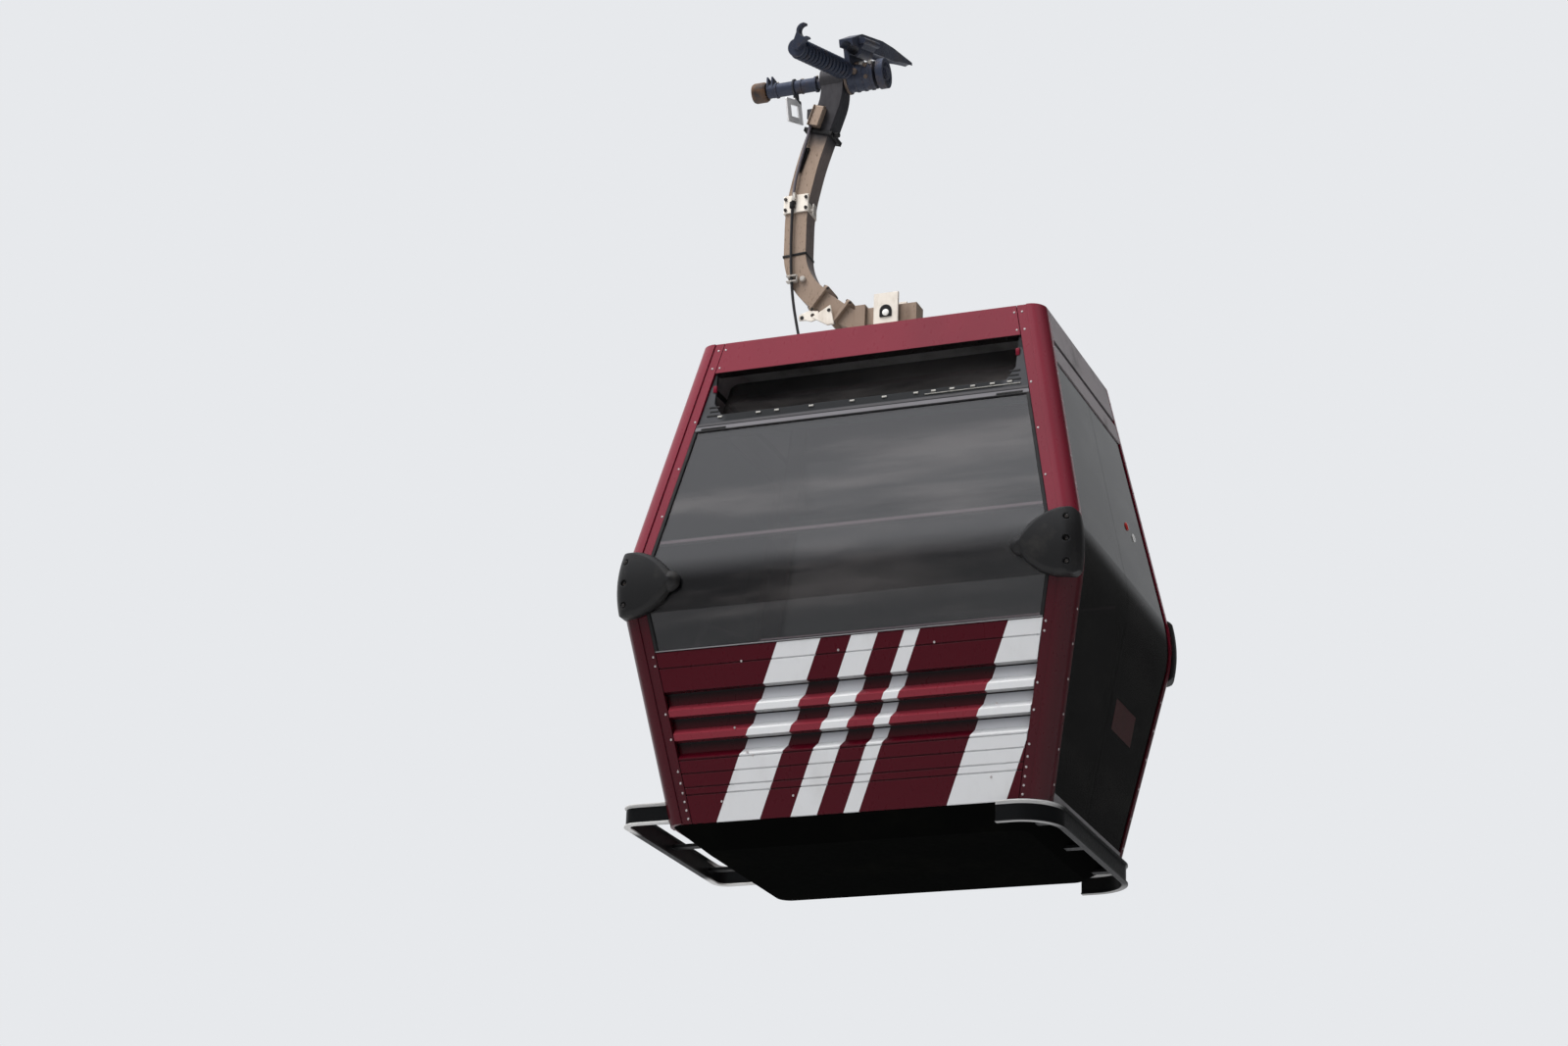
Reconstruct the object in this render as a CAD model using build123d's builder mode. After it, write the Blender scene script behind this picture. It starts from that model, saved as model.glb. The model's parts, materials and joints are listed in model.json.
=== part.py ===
from build123d import *
from math import cos, radians, sin, tan
import os

os.makedirs("parts", exist_ok=True)

# The origin is the rope's centre in the grip, +Z is up, +X is the near end of the cabin
# and +Y is the door side. All sizes are in millimetres and degrees.

# Rope and grip
ROPE_R = 25.0
ROPE_SLOPE = 21.0
CLAMP_LENGTH = 220.0
CLAMP_CLEARANCE = 0.1
JAW_WIDTH = 92.0
JAW_TOP = 50.0
JAW_BEVEL = 16.0
JAW_TIP_Y = 24.0
JAW_TIP_Z = 20.0
JAW_LIP_Y = 20.0
JAW_LIP_Z = 24.0
NOSE_PROFILE = ((200.0, 38.0), (40.0, 76.0), (-270.0, 80.0), (-450.0, 70.0), (-610.0, 52.0), (-760.0, 36.0))
NOSE_HALF_WIDTH = 34.0
NOSE_TIP_HALF_WIDTH = 18.0
NOSE_TAPER_START = -270.0
ROPE_ROOM = 2.0
HOUSING_R = 68.0
HOUSING_Y = (-58.0, 88.0)
HOUSING_RIB = 4.0
HOUSING_RIB_WIDTH = 9.0
HOUSING_RIBS_Y = (-52.0, -14.0, 24.0, 62.0)
LOWER_JAW_LENGTH = 180.0
LOWER_JAW_WALL = 13.0
LOWER_JAW_ANGLES = (-85.0, 25.0)
PIVOT_Y = 56.0
PIVOT_Z = 34.0
PIVOT_PIN_R = 8.0
PIVOT_LUG_R = 15.0
EAR_GAP = 1.0
JAW_WEB_SHARE = 0.75

# Springs beside the rope
SPRING_R = 50.0
SPRING_WIRE_R = 9.5
SPRING_LENGTH = 560.0
SPRING_TURNS = 13
SPRING_NEAR = (175.0, -33.0, -104.0)
SPRING_FAR_Y = -58.0
SPRING_FAR_Z = -66.0
SEAT_THICKNESS = 14.0
SEAT_R = 43.0
SPRING_ROD_R = 14.0
SADDLE_WALL = 11.0
SADDLE_LENGTH = 50.0
SADDLE_ANGLES = (85.0, 290.0)
COIL_GAP = 1.5

# Axle across the rope
AXLE_DROP = 142.0
AXLE_R = 25.0
AXLE_ENDS = (-552.0, 150.0)
SLEEVE_R = 34.0
SLEEVE_Y = (-432.0, -215.0)
RUNNING_CLEARANCE = 0.06
SIDE_CLEARANCE = 1.0
ROLLER_R = 50.0
ROLLER_RIM = 5.0
ROLLER_Y = (-548.0, -478.0)
FIN_Y = (-472.0, -448.0)
FIN_THICKNESS = 8.0
FIN_HEIGHT = 62.0
FIN_WIDTH = 70.0
WHEEL_R = 74.0
WHEEL_Y = (106.0, 142.0)
WHEEL_HUB_R = 34.0
WHEEL_RIM = 18.0
WHEEL_WEB = 9.0

# Hanger
HUB_R = 66.0
HUB_Y = (-182.0, -64.0)
ARM_DEPTH = 104.0
ARM_WIDTH = 112.0
ARM_ROUTE = ((-120.0, -250.0), (-230.0, -580.0), (-284.0, -820.0))
ARM_BENDS = (300.0, 1500.0, 900.0, 330.0)
ELBOW_TOP = (-152.0, -1322.0)
ELBOW_END = (-38.0, -1412.0)
FOOT_BEND_R = 70.0
BEAM_Z = -1450.0
BEAM_WIDTH = 92.0
BEAM_END = 335.0
FLANGE_THICKNESS = 7.0
FLANGE_OVERHANG = 16.0
FLANGE_CORNER = 12.0
DAMPER_PLATE = (120.0, 104.0, 12.0)
DAMPER_HOLE_R = 29.0
DAMPER_HOLE_DROP = 30.0
DAMPER_RISE = 12.0
DAMPER_Y = 190.0
DAMPER_GAP = 8.0
DAMPER_PROUD = 6.0
STRAP_Y = 62.0
STRAP_WIDTH = 50.0

# Cabin body
CABIN_Y = 284.0
WAIST_WIDTH = 2100.0
WAIST_LENGTH = 1560.0
WALL_SLOPE = 11.3
WAIST_BEND_R = 660.0
WAIST_Z = -2965.0
BODY_TOP = -1730.0
BODY_BOTTOM = -4000.0
CORNER_R = 70.0
REACH = 3000.0

# End faces, levels above the body's bottom
FASCIA_HEIGHT = 158.0
FASCIA_THICKNESS = 24.0
FASCIA_LIP = 58.0
LIP_THICKNESS = 6.0
RAIL_LEVEL = 1803.0
RAIL_HEIGHT = 40.0
RAIL_DEPTH = 96.0
END_WINDOW_LEVEL = 740.0
PANEL_THICKNESS = 42.0
PANEL_SET = 6.0
SEAM = 3.0
RECESS_DEPTH = 34.0
RECESS_LEVELS = ((515.0, 566.0), (412.0, 457.0), (308.0, 354.0))
RECESS_BEVEL = 30.0
GROOVE_DEPTH = 6.0
GROOVE_HEIGHT = 6.0
GROOVE_LEVELS = (665.0, 266.0, 209.0, 150.0, 118.0)
GLASS_SET = 10.0
GLASS_THICKNESS = 8.0
VENT_TILT = 17.0
VENT_SET = 10.0
VENT_FRAME_THICKNESS = 16.0
VENT_TOP_CHEEK = 12.0
VENT_CORNER_CHEEK = 48.0
VENT_BOTTOM_CHEEK = 100.0
VENT_CORNER_HEIGHT = 62.0
VENT_STRIP = 46.0
PANE_INSET = 60.0
PANE_LIFT = 8.0
PANE_HEIGHT = 300.0
PANE_SIDE_GAP = 26.0
PANE_CORNER = 40.0

# Corner posts
POST_FACE = 118.0
POST_CORE = 74.0
POST_SIDE = 92.0
POST_WALL = 46.0
POST_STEP = 6.0

# Bumpers at the waist
BUMPER_PROUD = 46.0
BUMPER_SIDE_PROUD = 12.0
BUMPER_HEIGHT = 304.0
BUMPER_LENGTH = 306.0
BUMPER_TIP_R = 48.0
BUMPER_SQUARE = 92.0
BUMPER_BULGE = 24.0
BUMPER_CORNER_R = 60.0
BUMPER_RIM = ((0.0, 36.0), (7.0, 21.0), (22.0, 10.0), (42.0, -3.0))
BUMPER_WRAP = 52.0
BUMPER_RISE = 8.0
BUMPER_BOLT_R = 15.0
BUMPER_BOLT_DEPTH = 18.0
BUMPER_BOLT_SET = 54.0
BUMPER_BOLT_SPACING = 100.0

# Sides
HEADER_HEIGHT = 270.0
HEADER_THICKNESS = 60.0
TRACK_SLOT = 26.0
TRACK_SLOT_LEVEL = 84.0
TRACK_DEPTH = 30.0
DOOR_FRAME = 46.0
DOOR_SILL = 46.0
SIDE_WINDOW_LEVEL = 740.0

# Floor, underframe and guide rails
FLOOR_THICKNESS = 34.0
PAN_DEPTH = 92.0
PAN_TAPER = 118.0
PAN_WALL = 10.0
PAN_SET = 14.0
PAN_CORNER = 60.0
GUIDE_HEIGHT = 90.0
GUIDE_THICKNESS = 12.0
GUIDE_LIP = 28.0
GUIDE_ARM_WIDTH = 44.0
GUIDE_ARM_THICKNESS = 14.0
ARM_SPREAD = 420.0
DOOR_GUIDE_TOP = -4012.0
DOOR_GUIDE_OUT = 34.0
DOOR_GUIDE_FORWARD = 40.0
DOOR_GUIDE_LEG = 240.0
DOOR_GUIDE_BEND_R = 170.0
WALL_GUIDE_TOP = -3888.0
WALL_GUIDE_OUT = 222.0
WALL_GUIDE_BACK = 40.0
WALL_GUIDE_BEND_R = 56.0

# Inside
BENCH_LEVEL = 430.0
BENCH_DEPTH = 400.0
BENCH_THICKNESS = 60.0
BACK_HEIGHT = 300.0
BACK_THICKNESS = 36.0
GUARD_R = 13.0
GUARD_LEVEL = 1262.0
BENCH_SIDE_GAP = 110.0

# Roof and the frame on it
ROOF_RISE = 46.0
ROOF_SET = 24.0
ROOF_TAPER = 150.0
ROOF_WALL = 10.0
ROOF_CORNER = 60.0
FRAME_LENGTH = 640.0
FRAME_WIDTH = 70.0
FRAME_HEIGHT = 34.0

# Collar on the hanger's arm, and the target plate that hangs from the axle parallel to the rope
COLLAR_TOP = -762.0
COLLAR_HEIGHT = 92.0
COLLAR_WALL = 8.0
TARGET_Y = -329.0
TARGET_X = 0.0
TARGET_Z = -272.0
TARGET_WIDTH = 200.0
TARGET_HEIGHT = 118.0
TARGET_CORNER = 6.0
TARGET_HOLE_WIDTH = 104.0
TARGET_HOLE_HEIGHT = 58.0
TARGET_THICKNESS = 8.0
TARGET_RING_R = 43.0
TARGET_NECK = 60.0

# Hose down the hanger's arm, route points as Y and Z
HOSE_R = 7.0
HOSE_X = 69.0
HOSE_ARC_SHARE = 0.45
HOSE_ROUTE = ((-216.0, -366.0), (-216.0, -415.0), (-238.0, -513.0), (-264.0, -620.0), (-283.0, -705.0),
              (-294.0, -795.0), (-298.0, -900.0), (-297.0, -1010.0), (-293.0, -1110.0), (-286.0, -1220.0),
              (-273.0, -1330.0), (-252.0, -1440.0), (-234.0, -1540.0), (-226.0, -1610.0), (-226.0, -1656.0))
HOSE_BLOCK = (40.0, 50.0, 46.0)
GLAND_R = 16.0

HALF_LENGTH = WAIST_LENGTH / 2
HALF_WIDTH = WAIST_WIDTH / 2
GRIP = Plane(origin=(0, 0, 0), x_dir=(cos(radians(ROPE_SLOPE)), 0, -sin(radians(ROPE_SLOPE))),
             z_dir=(sin(radians(ROPE_SLOPE)), 0, cos(radians(ROPE_SLOPE))))


def level(height):
    """Height above the body's bottom edge as a Z value."""
    return BODY_BOTTOM + height


def wall_half(half, height):
    """Half size of the body at a height on its straight walls, from the half size at the waist."""
    bend_height = WAIST_BEND_R * sin(radians(WALL_SLOPE))
    bend_depth = WAIST_BEND_R * (1 - cos(radians(WALL_SLOPE)))
    return half - bend_depth - tan(radians(WALL_SLOPE)) * (abs(height - WAIST_Z) - bend_height)


def save(piece, name):
    piece.part.label = name
    export_step(piece.part, f"parts/{name}.step")


def wall_face(half, centre, inset):
    """Face of the body seen along the other axis, its straight walls bent round the waist."""
    bend = WAIST_BEND_R - inset
    bend_x = half - WAIST_BEND_R
    edge_x, edge_z = bend_x + bend * cos(radians(WALL_SLOPE)), bend * sin(radians(WALL_SLOPE))
    slope = tan(radians(WALL_SLOPE))
    high_x = edge_x - slope * (BODY_TOP - WAIST_Z - edge_z)
    low_x = edge_x - slope * (WAIST_Z - edge_z - BODY_BOTTOM)
    waist_x = bend_x + bend
    with BuildSketch() as face:
        with BuildLine():
            for side in (1, -1):
                Line((centre + side * low_x, BODY_BOTTOM), (centre + side * edge_x, WAIST_Z - edge_z))
                ThreePointArc((centre + side * edge_x, WAIST_Z - edge_z), (centre + side * waist_x, WAIST_Z),
                              (centre + side * edge_x, WAIST_Z + edge_z))
                Line((centre + side * edge_x, WAIST_Z + edge_z), (centre + side * high_x, BODY_TOP))
            Line((centre - low_x, BODY_BOTTOM), (centre + low_x, BODY_BOTTOM))
            Line((centre - high_x, BODY_TOP), (centre + high_x, BODY_TOP))
        make_face()
    return face.sketch


def body_prism(end_inset, side_inset, z_low=BODY_BOTTOM, z_high=BODY_TOP, open_ends=False, open_sides=False):
    """The body's outer form moved in by an inset; open_ends or open_sides lets it run on past them."""
    middle = (BODY_BOTTOM + BODY_TOP) / 2
    with BuildPart() as prism:
        with BuildSketch(Plane.XZ):
            if open_ends:
                with Locations((0, middle)):
                    Rectangle(2 * REACH, BODY_TOP - BODY_BOTTOM)
            else:
                add(wall_face(HALF_LENGTH, 0, end_inset))
        extrude(amount=REACH, both=True)
        with BuildSketch(Plane.YZ):
            if open_sides:
                with Locations((CABIN_Y, middle)):
                    Rectangle(2 * REACH, BODY_TOP - BODY_BOTTOM)
            else:
                add(wall_face(HALF_WIDTH, CABIN_Y, side_inset))
        extrude(amount=REACH, both=True, mode=Mode.INTERSECT)
        with Locations((0, CABIN_Y, (z_low + z_high) / 2)):
            Box(2 * REACH, 2 * REACH, z_high - z_low, mode=Mode.INTERSECT)
    return prism.part


def corner_edge(edge):
    """Whether an edge is one of the body's four upright corners."""
    middle, size = edge.center(), edge.bounding_box().size
    return size.Z > CORNER_R and abs(middle.X) > HALF_LENGTH / 2 and abs(middle.Y - CABIN_Y) > HALF_WIDTH / 2


def keep(x=0, y=0):
    """Keep the half of the current piece toward +X or -X, and toward +Y or -Y of the cabin."""
    if x:
        with Locations((x * REACH / 2, CABIN_Y, WAIST_Z)):
            Box(REACH, 2 * REACH, 2 * REACH, mode=Mode.INTERSECT)
    if y:
        with Locations((0, CABIN_Y + y * REACH / 2, WAIST_Z)):
            Box(2 * REACH, REACH, 2 * REACH, mode=Mode.INTERSECT)


def end_slab(outer, inner, edge, z_low, z_high):
    """Both end walls between two depths, their edges moved in from the body's sides."""
    outside = body_prism(outer, edge, z_low, z_high)
    inside = body_prism(inner, 0, z_low, z_high, open_sides=True)
    return outside.cut(inside)


def side_slab(outer, inner, edge, z_low, z_high):
    """Both side walls between two depths, their edges moved in from the body's ends."""
    outside = body_prism(edge, outer, z_low, z_high)
    inside = body_prism(0, inner, z_low, z_high, open_ends=True)
    return outside.cut(inside)


ENDS = (("front", 1), ("rear", -1))
SIDES = (("door", 1), ("wall", -1))

# Corner posts, an L round each corner with a lower flange on the end face
outer_body = body_prism(0, 0)
with BuildPart() as rounded_body:
    add(outer_body)
    fillet(rounded_body.edges().filter_by(corner_edge), radius=CORNER_R)
inner_body = body_prism(POST_WALL, POST_WALL)
face_limit = body_prism(0, POST_FACE, open_ends=True)
side_limit = body_prism(POST_SIDE, 0, open_sides=True)
step_limit = body_prism(0, POST_CORE, open_ends=True)
step_face = body_prism(POST_STEP, 0, open_sides=True)
step_cut = step_limit.cut(step_face)
posts = {}
for end_name, x_side in ENDS:
    for side_name, y_side in SIDES:
        with BuildPart() as corner_post:
            add(rounded_body.part)
            add(inner_body, mode=Mode.SUBTRACT)
            add(face_limit, mode=Mode.SUBTRACT)
            add(side_limit, mode=Mode.SUBTRACT)
            add(step_cut, mode=Mode.SUBTRACT)
            keep(x=x_side, y=y_side)
        save(corner_post, f"corner_post_{end_name}_{side_name}")
        posts[end_name, side_name] = corner_post.part


# End faces: fascia, vent, window, guard bar and grooved lower panel
FASCIA_BOTTOM = BODY_TOP - FASCIA_HEIGHT
WALL_DEPTH = PANEL_SET + PANEL_THICKNESS
panel_edge = POST_FACE + SEAM


def recess_face(x_side, low, high):
    """Section of a slot across an end panel, its lower lip bevelled out to the panel's face."""
    deep, bevel_foot = PANEL_SET + RECESS_DEPTH, low - RECESS_BEVEL
    outline = ((HALF_LENGTH, high), (wall_half(HALF_LENGTH, high) - deep, high),
               (wall_half(HALF_LENGTH, low) - deep, low),
               (wall_half(HALF_LENGTH, bevel_foot) - PANEL_SET, bevel_foot), (HALF_LENGTH, bevel_foot))
    with BuildSketch() as section:
        with BuildLine():
            Polyline(*[(x_side * x, z) for x, z in outline], close=True)
        make_face()
    return section.sketch


for end_name, x_side in ENDS:
    with BuildPart() as fascia:
        add(end_slab(PANEL_SET, PANEL_SET + FASCIA_THICKNESS, panel_edge, FASCIA_BOTTOM, BODY_TOP))
        add(end_slab(PANEL_SET, PANEL_SET + FASCIA_LIP, panel_edge, FASCIA_BOTTOM,
                     FASCIA_BOTTOM + LIP_THICKNESS))
        keep(x=x_side)
    save(fascia, f"fascia_{end_name}")

    with BuildPart() as end_panel:
        add(end_slab(PANEL_SET, WALL_DEPTH, panel_edge, BODY_BOTTOM, level(END_WINDOW_LEVEL) - SEAM))
        with BuildSketch(Plane.XZ):
            for low, high in RECESS_LEVELS:
                add(recess_face(x_side, level(low), level(high)))
        extrude(amount=REACH, both=True, mode=Mode.SUBTRACT)
        for groove in GROOVE_LEVELS:
            add(end_slab(0, PANEL_SET + GROOVE_DEPTH, 0, level(groove), level(groove + GROOVE_HEIGHT)),
                mode=Mode.SUBTRACT)
        keep(x=x_side)
    save(end_panel, f"end_panel_{end_name}")

    with BuildPart() as end_window:
        add(end_slab(GLASS_SET, GLASS_SET + GLASS_THICKNESS, panel_edge, level(END_WINDOW_LEVEL),
                     level(RAIL_LEVEL) - SEAM))
        keep(x=x_side)
    save(end_window, f"end_window_{end_name}")

    vent_low, vent_high = level(RAIL_LEVEL + RAIL_HEIGHT), FASCIA_BOTTOM - SEAM
    vent_corners = [(wall_half(HALF_WIDTH, z) - panel_edge - cheek, z) for cheek, z in (
        (VENT_TOP_CHEEK, vent_high), (VENT_CORNER_CHEEK, vent_low + VENT_STRIP + VENT_CORNER_HEIGHT),
        (VENT_BOTTOM_CHEEK, vent_low + VENT_STRIP))]
    with BuildPart() as vent_frame:
        add(end_slab(PANEL_SET, PANEL_SET + RAIL_DEPTH, panel_edge, level(RAIL_LEVEL), vent_low))
        add(end_slab(PANEL_SET + VENT_SET, PANEL_SET + VENT_SET + VENT_FRAME_THICKNESS, panel_edge, vent_low,
                     vent_high))
        with BuildSketch(Plane.YZ):
            with BuildLine():
                Polyline(*[(CABIN_Y - half, z) for half, z in vent_corners],
                         *[(CABIN_Y + half, z) for half, z in reversed(vent_corners)], close=True)
            make_face()
        extrude(amount=REACH, both=True, mode=Mode.SUBTRACT)
        keep(x=x_side)
    save(vent_frame, f"vent_frame_{end_name}")

    rail_x = wall_half(HALF_LENGTH, vent_low)
    pane_width = 2 * (wall_half(HALF_WIDTH, vent_high) - panel_edge - PANE_SIDE_GAP)
    lean = WALL_SLOPE + VENT_TILT
    pane_plane = Plane(origin=(x_side * (rail_x - PANE_INSET), CABIN_Y, vent_low),
                       x_dir=(0, 1, 0), z_dir=(x_side * cos(radians(lean)), 0, sin(radians(lean))))
    up = 1 if pane_plane.y_dir.Z > 0 else -1
    with BuildPart() as vent_pane:
        with BuildSketch(pane_plane):
            with Locations((0, up * (PANE_LIFT + PANE_HEIGHT / 2))):
                RectangleRounded(pane_width, PANE_HEIGHT, PANE_CORNER)
        extrude(amount=-GLASS_THICKNESS)
    save(vent_pane, f"vent_pane_{end_name}")

    guard_x = wall_half(HALF_LENGTH, level(GUARD_LEVEL)) - WALL_DEPTH - GUARD_R
    with BuildPart() as guard_bar:
        with BuildSketch(Plane.XZ.offset(-CABIN_Y)):
            with Locations((x_side * guard_x, level(GUARD_LEVEL))):
                Circle(GUARD_R)
        extrude(amount=wall_half(HALF_WIDTH, level(GUARD_LEVEL)) - POST_WALL + GUARD_R, both=True)
        for side_name, y_side in SIDES:
            add(posts[end_name, side_name], mode=Mode.SUBTRACT)
    save(guard_bar, f"guard_bar_{end_name}")

# Bumpers, a rubber shell round each waist corner that tapers to a rounded tip on the end face
with BuildPart() as bumper_skin:
    add(body_prism(-BUMPER_PROUD, -BUMPER_SIDE_PROUD))
    fillet(bumper_skin.edges().filter_by(corner_edge), radius=CORNER_R)
bumper_z = WAIST_Z + BUMPER_RISE
bumper_outer_x = HALF_LENGTH + BUMPER_PROUD


def bumper_outline(y_side, inset):
    """A bumper seen from the end, rounded at the corner and drawn in by arcs to its tip."""
    outer_y = CABIN_Y + y_side * (HALF_WIDTH + BUMPER_SIDE_PROUD)
    corner_y = outer_y - y_side * inset
    square_y = outer_y - y_side * BUMPER_SQUARE
    tip_y = outer_y - y_side * (BUMPER_LENGTH - BUMPER_TIP_R)
    bend_y, bend_z = outer_y - y_side * BUMPER_CORNER_R, BUMPER_HEIGHT / 2 - BUMPER_CORNER_R
    tip_r, top_z = BUMPER_TIP_R - inset, BUMPER_HEIGHT / 2 - inset
    diagonal = (BUMPER_CORNER_R - inset) * sin(radians(45))
    with BuildSketch() as outline:
        with BuildLine():
            for z_side in (1, -1):
                tip, square = (tip_y, z_side * tip_r), (square_y, z_side * top_z)
                middle = ((tip_y + square_y) / 2, z_side * ((tip_r + top_z) / 2 + BUMPER_BULGE))
                bend = (bend_y, z_side * top_z)
                ThreePointArc(tip, middle, square)
                Line(square, bend)
                ThreePointArc(bend, (bend_y + y_side * diagonal, z_side * (bend_z + diagonal)),
                              (corner_y, z_side * bend_z))
            ThreePointArc((tip_y, tip_r), (tip_y - y_side * tip_r, 0), (tip_y, -tip_r))
            Line((corner_y, bend_z), (corner_y, -bend_z))
        make_face()
    return outline.sketch


for end_name, x_side in ENDS:
    for side_name, y_side in SIDES:
        with BuildPart() as bumper:
            rim_x = bumper_outer_x - BUMPER_RIM[0][1]
            with BuildSketch(Plane.YZ.offset(x_side * (HALF_LENGTH - BUMPER_WRAP))):
                with Locations((0, bumper_z)):
                    add(bumper_outline(y_side, 0))
            extrude(amount=x_side * (rim_x - HALF_LENGTH + BUMPER_WRAP))
            for inset, depth in BUMPER_RIM:
                with BuildSketch(Plane.YZ.offset(x_side * (bumper_outer_x - depth))):
                    with Locations((0, bumper_z)):
                        add(bumper_outline(y_side, inset))
            loft(ruled=True)
            add(bumper_skin.part, mode=Mode.INTERSECT)
            add(rounded_body.part, mode=Mode.SUBTRACT)
            bolt_y = CABIN_Y + y_side * (HALF_WIDTH + BUMPER_SIDE_PROUD - BUMPER_BOLT_SET)
            with BuildSketch(Plane.YZ.offset(x_side * (bumper_outer_x - BUMPER_BOLT_DEPTH))):
                with Locations(*[(bolt_y, bumper_z + rise * BUMPER_BOLT_SPACING) for rise in (-1, 0, 1)]):
                    Circle(BUMPER_BOLT_R)
            extrude(amount=x_side * BUMPER_BOLT_DEPTH * 2, mode=Mode.SUBTRACT)
        save(bumper, f"bumper_{end_name}_{side_name}")

# Sides: header with the door track, two door leaves, and a fixed side with window and lower panel
side_edge = POST_SIDE + SEAM
header_bottom = BODY_TOP - HEADER_HEIGHT
for side_name, y_side in SIDES:
    with BuildPart() as header:
        add(side_slab(0, HEADER_THICKNESS, side_edge, header_bottom, BODY_TOP))
        add(side_slab(0, TRACK_DEPTH, 0, header_bottom + TRACK_SLOT_LEVEL,
                      header_bottom + TRACK_SLOT_LEVEL + TRACK_SLOT), mode=Mode.SUBTRACT)
        keep(y=y_side)
    save(header, f"header_{side_name}")

sill_top = BODY_BOTTOM + DOOR_SILL
with BuildPart() as door_sill:
    add(side_slab(0, WALL_DEPTH, side_edge, BODY_BOTTOM, sill_top - SEAM))
    keep(y=1)
save(door_sill, "door_sill")

with BuildPart() as door_opening:
    add(body_prism(side_edge + DOOR_FRAME, 0, sill_top + DOOR_FRAME, header_bottom - SEAM - DOOR_FRAME,
                   open_sides=True))
    with Locations((0, CABIN_Y, WAIST_Z)):
        Box(2 * DOOR_FRAME, 2 * REACH, 2 * REACH, mode=Mode.SUBTRACT)

for end_name, x_side in ENDS:
    with BuildPart() as door_glass:
        add(side_slab(PANEL_SET, PANEL_SET + GLASS_THICKNESS, side_edge, sill_top, header_bottom - SEAM))
        keep(x=x_side, y=1)
        with Locations((0, CABIN_Y, WAIST_Z)):
            Box(SEAM, 2 * REACH, 2 * REACH, mode=Mode.SUBTRACT)
    save(door_glass, f"door_glass_{end_name}")
    with BuildPart() as door_frame:
        add(side_slab(PANEL_SET + GLASS_THICKNESS, WALL_DEPTH, side_edge, sill_top, header_bottom - SEAM))
        keep(x=x_side, y=1)
        with Locations((0, CABIN_Y, WAIST_Z)):
            Box(SEAM, 2 * REACH, 2 * REACH, mode=Mode.SUBTRACT)
        add(door_opening.part, mode=Mode.SUBTRACT)
    save(door_frame, f"door_frame_{end_name}")

with BuildPart() as side_panel:
    add(side_slab(PANEL_SET, WALL_DEPTH, side_edge, BODY_BOTTOM, level(SIDE_WINDOW_LEVEL) - SEAM))
    for groove in GROOVE_LEVELS:
        add(side_slab(0, PANEL_SET + GROOVE_DEPTH, 0, level(groove), level(groove + GROOVE_HEIGHT)),
            mode=Mode.SUBTRACT)
    keep(y=-1)
save(side_panel, "side_panel")

with BuildPart() as side_window:
    add(side_slab(GLASS_SET, GLASS_SET + GLASS_THICKNESS, side_edge, level(SIDE_WINDOW_LEVEL),
                  header_bottom - SEAM))
    keep(y=-1)
save(side_window, "side_window")

# Floor, and the tapered pan under it
with BuildPart() as floor:
    add(body_prism(WALL_DEPTH, WALL_DEPTH, BODY_BOTTOM, BODY_BOTTOM + FLOOR_THICKNESS))
save(floor, "floor")

base_half_x = wall_half(HALF_LENGTH, BODY_BOTTOM)
base_half_y = wall_half(HALF_WIDTH, BODY_BOTTOM)


def pan_solid(inset):
    with BuildPart() as pan:
        for drop, taper in ((0, 0), (PAN_DEPTH - inset, PAN_TAPER)):
            with BuildSketch(Plane.XY.offset(BODY_BOTTOM - drop)):
                with Locations((0, CABIN_Y)):
                    RectangleRounded(2 * (base_half_x - PAN_SET - inset - taper),
                                     2 * (base_half_y - PAN_SET - inset - taper), PAN_CORNER)
        loft()
    return pan.part


with BuildPart() as underframe:
    add(pan_solid(0))
    add(pan_solid(PAN_WALL), mode=Mode.SUBTRACT)
save(underframe, "underframe")

# Guide rails, a lipped channel bent round each side: low and in front of the posts on the door side,
# higher and well out from the fixed side on the other
guide_lips = ((GUIDE_THICKNESS, 0, GUIDE_HEIGHT), (GUIDE_LIP, 0, LIP_THICKNESS),
              (GUIDE_LIP, GUIDE_HEIGHT - LIP_THICKNESS, GUIDE_HEIGHT))
guide_table = (("door", 1, DOOR_GUIDE_TOP, DOOR_GUIDE_FORWARD, DOOR_GUIDE_OUT,
                DOOR_GUIDE_OUT - DOOR_GUIDE_LEG, DOOR_GUIDE_BEND_R),
               ("wall", -1, WALL_GUIDE_TOP, -WALL_GUIDE_BACK, WALL_GUIDE_OUT, -POST_WALL, WALL_GUIDE_BEND_R))
for side_name, y_side, guide_top, forward, out, leg_end, bend_r in guide_table:
    guide_x = base_half_x + forward
    guide_y = CABIN_Y + y_side * (base_half_y + out)
    leg_y = CABIN_Y + y_side * (base_half_y + leg_end)
    with BuildPart() as guide_rail:
        for width, low, high in guide_lips:
            with BuildSketch(Plane.XY.offset(guide_top - GUIDE_HEIGHT + low)):
                with BuildLine() as guide_line:
                    FilletPolyline((guide_x, leg_y), (guide_x, guide_y), (-guide_x, guide_y), (-guide_x, leg_y),
                                   radius=bend_r)
                trace(guide_line.line, line_width=width)
            extrude(amount=high - low)
        add(rounded_body.part, mode=Mode.SUBTRACT)
        arm_y = CABIN_Y + y_side * (base_half_y + out / 2 - PAN_TAPER / 2)
        with Locations(*[(x, arm_y, guide_top - GUIDE_HEIGHT / 2) for x in (-ARM_SPREAD, 0, ARM_SPREAD)]):
            Box(GUIDE_ARM_WIDTH, out + PAN_TAPER, GUIDE_ARM_THICKNESS)
        add(body_prism(0, PANEL_SET), mode=Mode.SUBTRACT)
        add(pan_solid(0), mode=Mode.SUBTRACT)
    save(guide_rail, f"guide_rail_{side_name}")

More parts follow.
